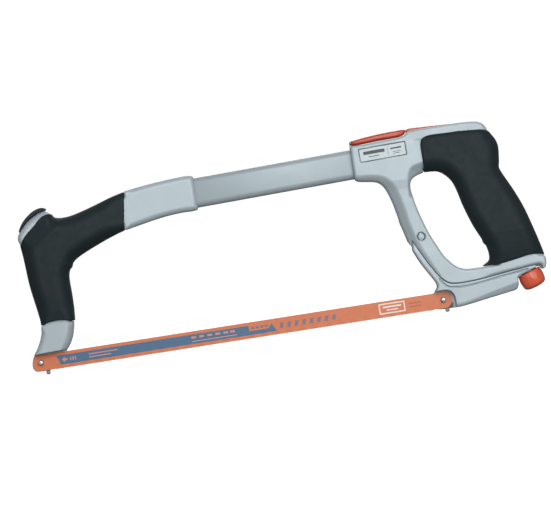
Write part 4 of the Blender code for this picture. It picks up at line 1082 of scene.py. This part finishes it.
def cut_out(mesh, *cutters):
    """The mesh with each cutter's solid taken out of it."""
    obj = bpy.data.objects.new("cut_body", mesh)
    bpy.context.scene.collection.objects.link(obj)
    helpers = [obj]
    for cutter in cutters:
        helper = bpy.data.objects.new("cutter", cutter)
        bpy.context.scene.collection.objects.link(helper)
        modifier = obj.modifiers.new("cut", "BOOLEAN")
        modifier.operation = "DIFFERENCE"
        modifier.object = helper
        helpers.append(helper)
    graph = bpy.context.evaluated_depsgraph_get()
    graph.update()
    result = bpy.data.meshes.new_from_object(obj.evaluated_get(graph))
    result.name = mesh.name
    for helper in helpers:
        bpy.data.objects.remove(helper)
    return result


def label_plate():
    """A metal plate with a raised border, a divider and plain bars where a maker's words would be."""
    bm = bmesh.new()
    add_slab(bm, LABEL, LABEL_FACE_Y, LABEL_BACK_Y, 0)
    inner = grown(LABEL, -0.55)
    for start, end in zip(inner, inner[1:] + inner[:1]):
        add_bar(bm, start, end, 0.16)
    for along, low, high, width in LABEL_BARS:
        add_bar(bm, label_spot(along[0], low), label_spot(along[1], high), width)
    mesh = bpy.data.meshes.new("label_badge")
    bm.to_mesh(mesh)
    bm.free()
    outward(mesh)
    obj = add_piece("label_badge", mesh, LABEL_METAL, "frame", "label", "label_plate")
    mesh.materials.append(LABEL_INK)
    bevel = obj.modifiers.new("edges", "BEVEL")
    bevel.width = 0.00004
    bevel.segments = 2
    return obj


def label_spot(along, up):
    """A point on the label at those fractions of its width and height."""
    low = Vector(LABEL[0]).lerp(Vector(LABEL[1]), along)
    high = Vector(LABEL[3]).lerp(Vector(LABEL[2]), along)
    return low.lerp(high, up)


def add_slab(bm, outline, y_front, y_back, material_index):
    front = [bm.verts.new(place(x, y_front, z)) for x, z in outline]
    back = [bm.verts.new(place(x, y_back, z)) for x, z in outline]
    count = len(outline)
    faces = [bm.faces.new(front), bm.faces.new(list(reversed(back)))]
    for i in range(count):
        j = (i + 1) % count
        faces.append(bm.faces.new((front[i], back[i], back[j], front[j])))
    for face in faces:
        face.material_index = material_index


def add_bar(bm, start, end, width):
    """A bar of ink that stands a little out of the label's face."""
    start, end = Vector(start), Vector(end)
    along = (end - start).normalized()
    aside = Vector((-along.y, along.x)) * width / 2
    outline = [start - aside, end - aside, end + aside, start + aside]
    add_slab(bm, [tuple(corner) for corner in outline], LABEL_INK_Y, LABEL_FACE_Y + 0.02, 1)


def rounded_end(x, centre, radius, flat):
    """How far an edge has come in at x where the blade's corner is rounded."""
    past = min(abs(x - centre), radius)
    return flat * (radius - math.sqrt(radius**2 - past**2))


def blade_columns():
    """(x, top, bottom, set) along the blade, with a gullet and a raked tip for each tooth."""
    columns = []
    for step in range(17):
        x = -6.0 + 15.6 * (1 - math.cos(math.radians(90 * step / 16)))
        inset = rounded_end(x, -2.4, 3.6, 1.0) if x < -2.4 else 0.0
        columns.append((x, BLADE_TOP - inset, BLADE_FOOT + inset, 0.0))
    count = int((TEETH_TO - TEETH_FROM) / TOOTH_PITCH)
    for tooth in range(count):
        x = TEETH_FROM + tooth * TOOTH_PITCH
        wave = TOOTH_SET * math.sin(2 * math.pi * tooth / 9)
        columns.append((x, BLADE_TOP, BLADE_GULLETS, 0.4 * wave))
        columns.append((x + 0.28 * TOOTH_PITCH, BLADE_TOP, BLADE_TIPS, wave))
    for step in range(1, 20):
        x = 291.0 + 15.0 * math.sin(math.radians(90 * step / 19))
        inset = rounded_end(x, 301.0, 5.0, 1.0) if x > 301 else 0.0
        columns.append((x, BLADE_TOP - inset, BLADE_FOOT + inset, 0.0))
    return columns


def blade_strip():
    """The toothed strip as one closed mesh, near side first."""
    columns = blade_columns()
    points = []
    for side in (-1, 1):
        for x, top, bottom, bend in columns:
            for row in BLADE_ROWS:
                lean = bend * max(0.0, (row - 0.78) / 0.22)
                points.append((x, side * BLADE_HALF_THICK + lean, top + (bottom - top) * row))
    width, height = len(columns), len(BLADE_ROWS)
    far = width * height
    faces = []
    for i in range(width - 1):
        for j in range(height - 1):
            a, b = i * height + j, (i + 1) * height + j
            faces.append((a, a + 1, b + 1, b))
            faces.append((far + a, far + b, far + b + 1, far + a + 1))
        top_a, top_b = i * height, (i + 1) * height
        low_a, low_b = top_a + height - 1, top_b + height - 1
        faces.append((top_a, top_b, far + top_b, far + top_a))
        faces.append((low_a, far + low_a, far + low_b, low_b))
    for j in range(height - 1):
        end = (width - 1) * height + j
        faces.append((j, far + j, far + j + 1, j + 1))
        faces.append((end, end + 1, far + end + 1, far + end))
    mesh = bpy.data.meshes.new("toothed_blade")
    mesh.from_pydata([place(*point) for point in points], [], faces)
    outward(mesh)
    return mesh


def round_cutter(x, radius):
    points, faces = turned([(radius, -3.0), (radius, 3.0)], steps=40)
    return turned_mesh("cutter", [(points, faces)], (x, 0, 0), (0, 1, 0))


def toothed_blade():
    mesh = cut_out(blade_strip(), round_cutter(0.0, 2.1), round_cutter(BLADE_HOLES, 2.1))
    count = len(mesh.vertices)
    co = np.empty(count * 3, np.float32)
    mesh.vertices.foreach_get("co", co)
    flat = (co.reshape(-1, 3) - np.array(HOME)) / MM
    spots = mesh.attributes.new("blade_place", "FLOAT_VECTOR", "POINT")
    spots.data.foreach_set("vector", flat.astype(np.float32).ravel())
    mesh.shade_smooth()
    mesh.set_sharp_from_angle(angle=math.radians(28))
    obj = add_piece("toothed_blade", mesh, BLADE_PAINT, None, "blade", "saw_blade")
    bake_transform(obj)
    return obj


# ---------------------------------------------------------------- turned pieces

def across_pin(name, at, radius, low, high, body, node, dome=0.0, metal=STEEL):
    """A pin through the saw's thickness; a dome is on its near end."""
    if dome:
        profile = domed_profile(radius, -high, -low, dome)
    else:
        profile = pin_profile(radius, -high, -low)
    mesh = turned_mesh(name, [turned(profile)], (at[0], 0, at[1]), (0, -1, 0))
    return add_piece(name, mesh, metal, body, "steel", node)


def turned_pins():
    ends = (("front", 0.0, "frame", FRONT_ANGLE_X), ("rear", BLADE_HOLES, "lever", REAR_ANGLE_X))
    for end, x, body, angle_x in ends:
        across_pin(f"{end}_blade_peg", (x, 0), PIN_R, -4.4, 6.8, body, f"{end}_blade_pin", dome=0.9)
        start = (angle_x, ANGLE_PIN_Y, ANGLE_PIN_Z)
        peg = turned(domed_profile(1.6, -2.1, 4.18, 0.6))
        mesh = turned_mesh(f"{end}_angle_peg", [peg], start, ANGLE_WAY)
        add_piece(f"{end}_angle_peg", mesh, STEEL, body, "steel", f"{end}_angle_pin")
    across_pin("pivot_pin", PIVOT, 2.3, -9.3, 9.3, "frame", "lever_pivot_pin", dome=0.3, metal=CASTING)
    across_pin("lid_pin", LID_HINGE, 0.8, -6.1, 6.1, "frame", "lid_hinge_pin")


def hexagon(radius, low, high, chamfer):
    """A hexagonal head whose corners are chamfered."""
    return turned(pin_profile(radius, low, high, chamfer), 6)


def tension_screw():
    """The screw with its rolled thread and the hexagon head that the knob is pressed on."""
    pitch, core, depth, low, high = 1.0, 2.35, 0.32, 1.6, 44.0
    rows = 6
    profile = [(core, -0.2)]
    steps = int((high - low) * rows / pitch)
    for step in range(steps + 1):
        profile.append((core, low + (high - low) * step / steps))
    profile[-1] = (core - 0.5, high)

    def thread(radius, height, angle):
        if height < low or height >= high:
            return 0.0
        turn = (height / pitch - angle / (2 * math.pi)) % 1.0
        fade = min(1.0, (height - low) / pitch, (high - height) / pitch)
        return fade * depth * (1 - abs(2 * turn - 1))

    shank = turned(profile, 28, thread)
    mesh = turned_mesh("threaded_screw", [shank, hexagon(5.2, -4.4, -0.25, 0.3)], SCREW_START, SCREW_WAY)
    add_piece("threaded_screw", mesh, SCREW_STEEL, "knob", "steel", "tension_screw")


def tension_knob():
    """A domed barrel with shallow finger flutes, hollow over the screw's head."""
    profile = [(0.6, -12.6), (3.4, -12.5), (5.6, -12.15), (7.2, -11.5), (8.3, -10.6), (8.7, -9.5)]
    for step in range(9):
        height = -8.6 + 6.9 * step / 8
        profile.append((9.25 - 0.4 * ((step - 4) / 4) ** 2, height))
    profile += [(8.7, -1.0), (8.5, -0.45), (7.9, -0.1), (7.0, 0.0)]
    profile += [(5.9, 0.0), (5.6, -0.3), (5.6, -4.6), (5.0, -4.7)]

    def flute(radius, height, angle):
        grip = min(1.0, max(0.0, (radius - 7.6) / 1.2)) if height < -0.2 else 0.0
        return -0.14 * grip * (0.5 + 0.5 * math.cos(14 * angle)) ** 2

    mesh = turned_mesh("knob_moulding", [turned(profile, 112, flute)], SCREW_START, SCREW_WAY, 50)
    add_piece("knob_moulding", mesh, KNOB_PLASTIC, "knob", "orange_plastic", "tension_knob")


def thrust_washer():
    profile = [(3.25, 0.3), (6.3, 0.3), (6.5, 0.5), (6.5, 1.1)]
    profile += [(6.3, 1.3), (3.25, 1.3), (3.1, 1.15), (3.1, 0.45)]
    ring = turned(profile, 48, closed_ends=False)
    mesh = turned_mesh("bevelled_washer", [ring], SCREW_START, SCREW_WAY)
    outward(mesh)
    add_piece("bevelled_washer", mesh, STEEL, "thrust", "steel", "thrust_washer")


def tube_screws():
    """Grub screws with a hexagon socket in the lower end."""
    for node, x, low in (("front_tube_screw", FRONT_SCREW_X, 92.9), ("rear_tube_screw", REAR_SCREW_X, 95.3)):
        high = tube_axis_z(x) - TUBE_HALF_HEIGHT + TUBE_WALL
        body = turned_mesh(node, [turned(pin_profile(2.0, low, high, 0.3))], (x, 0, 0), (0, 0, 1))
        socket = turned_mesh("socket", [turned([(1.1, low - 1), (1.1, low + 1.8)], 6)], (x, 0, 0), (0, 0, 1))
        mesh = cut_out(body, socket)
        mesh.set_sharp_from_angle(angle=math.radians(35))
        add_piece(node.replace("_tube", "_grub"), mesh, SCREW_STEEL, "frame", "steel", node)


def finish_cad_nodes():
    """The barrel nut stays as the CAD model has it, with machined steel on it."""
    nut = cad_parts["barrel_nut"]
    nut.data.materials.clear()
    nut.data.materials.append(SCREW_STEEL)


# ---------------------------------------------------------------- stage, light and camera

def stage_bowl():
    """A pale floor that curves up into a wall all round."""
    profile = [(0.02, 0.0), (0.5, 0.0), (1.5, 0.0), (FLOOR_RADIUS, 0.0)]
    for step in range(1, 13):
        angle = math.radians(90 * step / 12)
        profile.append((FLOOR_RADIUS + math.sin(angle), 1 - math.cos(angle)))
    profile.append((FLOOR_RADIUS + 1, FLOOR_WALL))
    points, faces = turned(profile, 64)
    faces.pop()
    mesh = bpy.data.meshes.new("studio_floor")
    mesh.from_pydata(points, [], faces)
    mesh.shade_smooth()
    mesh.flip_normals()
    mat, tree, shader = new_material("studio_white", specular=0.1)
    cloud = noise(tree, object_place(tree), 3.0, 2.0)
    tint = mixed(tree, cloud, (0.46, 0.46, 0.46, 1), (0.48, 0.48, 0.48, 1))
    tree.links.new(tint, shader.inputs["Base Color"])
    shader.inputs["Roughness"].default_value = 0.9
    shader.inputs["Emission Color"].default_value = (1.0, 1.0, 1.0, 1.0)
    shader.inputs["Emission Strength"].default_value = FLOOR_GLOW
    mesh.materials.append(mat)
    floor = bpy.data.objects.new("studio_floor", mesh)
    floor.visible_diffuse = False
    floor.visible_glossy = False
    bpy.context.scene.collection.objects.link(floor)


def lights():
    world = bpy.data.worlds.new("studio")
    bpy.context.scene.world = world
    world.use_nodes = True
    tree = world.node_tree
    way = add_node(tree, "ShaderNodeTexCoord").outputs["Generated"]
    height = add_node(tree, "ShaderNodeSeparateXYZ", {"Vector": way}).outputs["Z"]
    height = add_node(tree, "ShaderNodeMapRange", {"Value": height, "From Min": -1.0}).outputs["Result"]
    sky = mixed(tree, height, shade((1, 1, 1), SKY_BELOW), shade((1, 1, 1), SKY_ABOVE))
    tree.links.new(sky, tree.nodes["Background"].inputs["Color"])
    for name, spot, size, power in LIGHTS:
        lamp = bpy.data.lights.new(name, "AREA")
        lamp.energy = power
        lamp.size = size
        obj = bpy.data.objects.new(name, lamp)
        obj.location = spot
        obj.rotation_euler = (LIGHT_TARGET - Vector(spot)).to_track_quat("-Z", "Y").to_euler()
        bpy.context.scene.collection.objects.link(obj)


def camera():
    """Square on to the saw, turned so that the blade climbs to the right."""
    data = bpy.data.cameras.new("camera")
    data.lens = CAMERA_LENS
    data.sensor_width = 36.0
    obj = bpy.data.objects.new("camera", data)
    obj.location = place(*CAMERA_AIM) - Vector((0, CAMERA_DISTANCE, 0))
    obj.rotation_euler = (math.radians(90), math.radians(CAMERA_ROLL), 0)
    bpy.context.scene.collection.objects.link(obj)
    bpy.context.scene.camera = obj
    bpy.context.scene.view_settings.view_transform = "Standard"


camera()
lights()
stage_bowl()
handle = handle_solid()
handle_casting(handle)
rear_rubber(handle)
bow = bow_solid()
bow_casting(bow)
front_rubber(bow)
lever_casting()
small_plates()
frame_tube()
label_plate()
toothed_blade()
turned_pins()
tension_screw()
tension_knob()
thrust_washer()
tube_screws()
finish_cad_nodes()
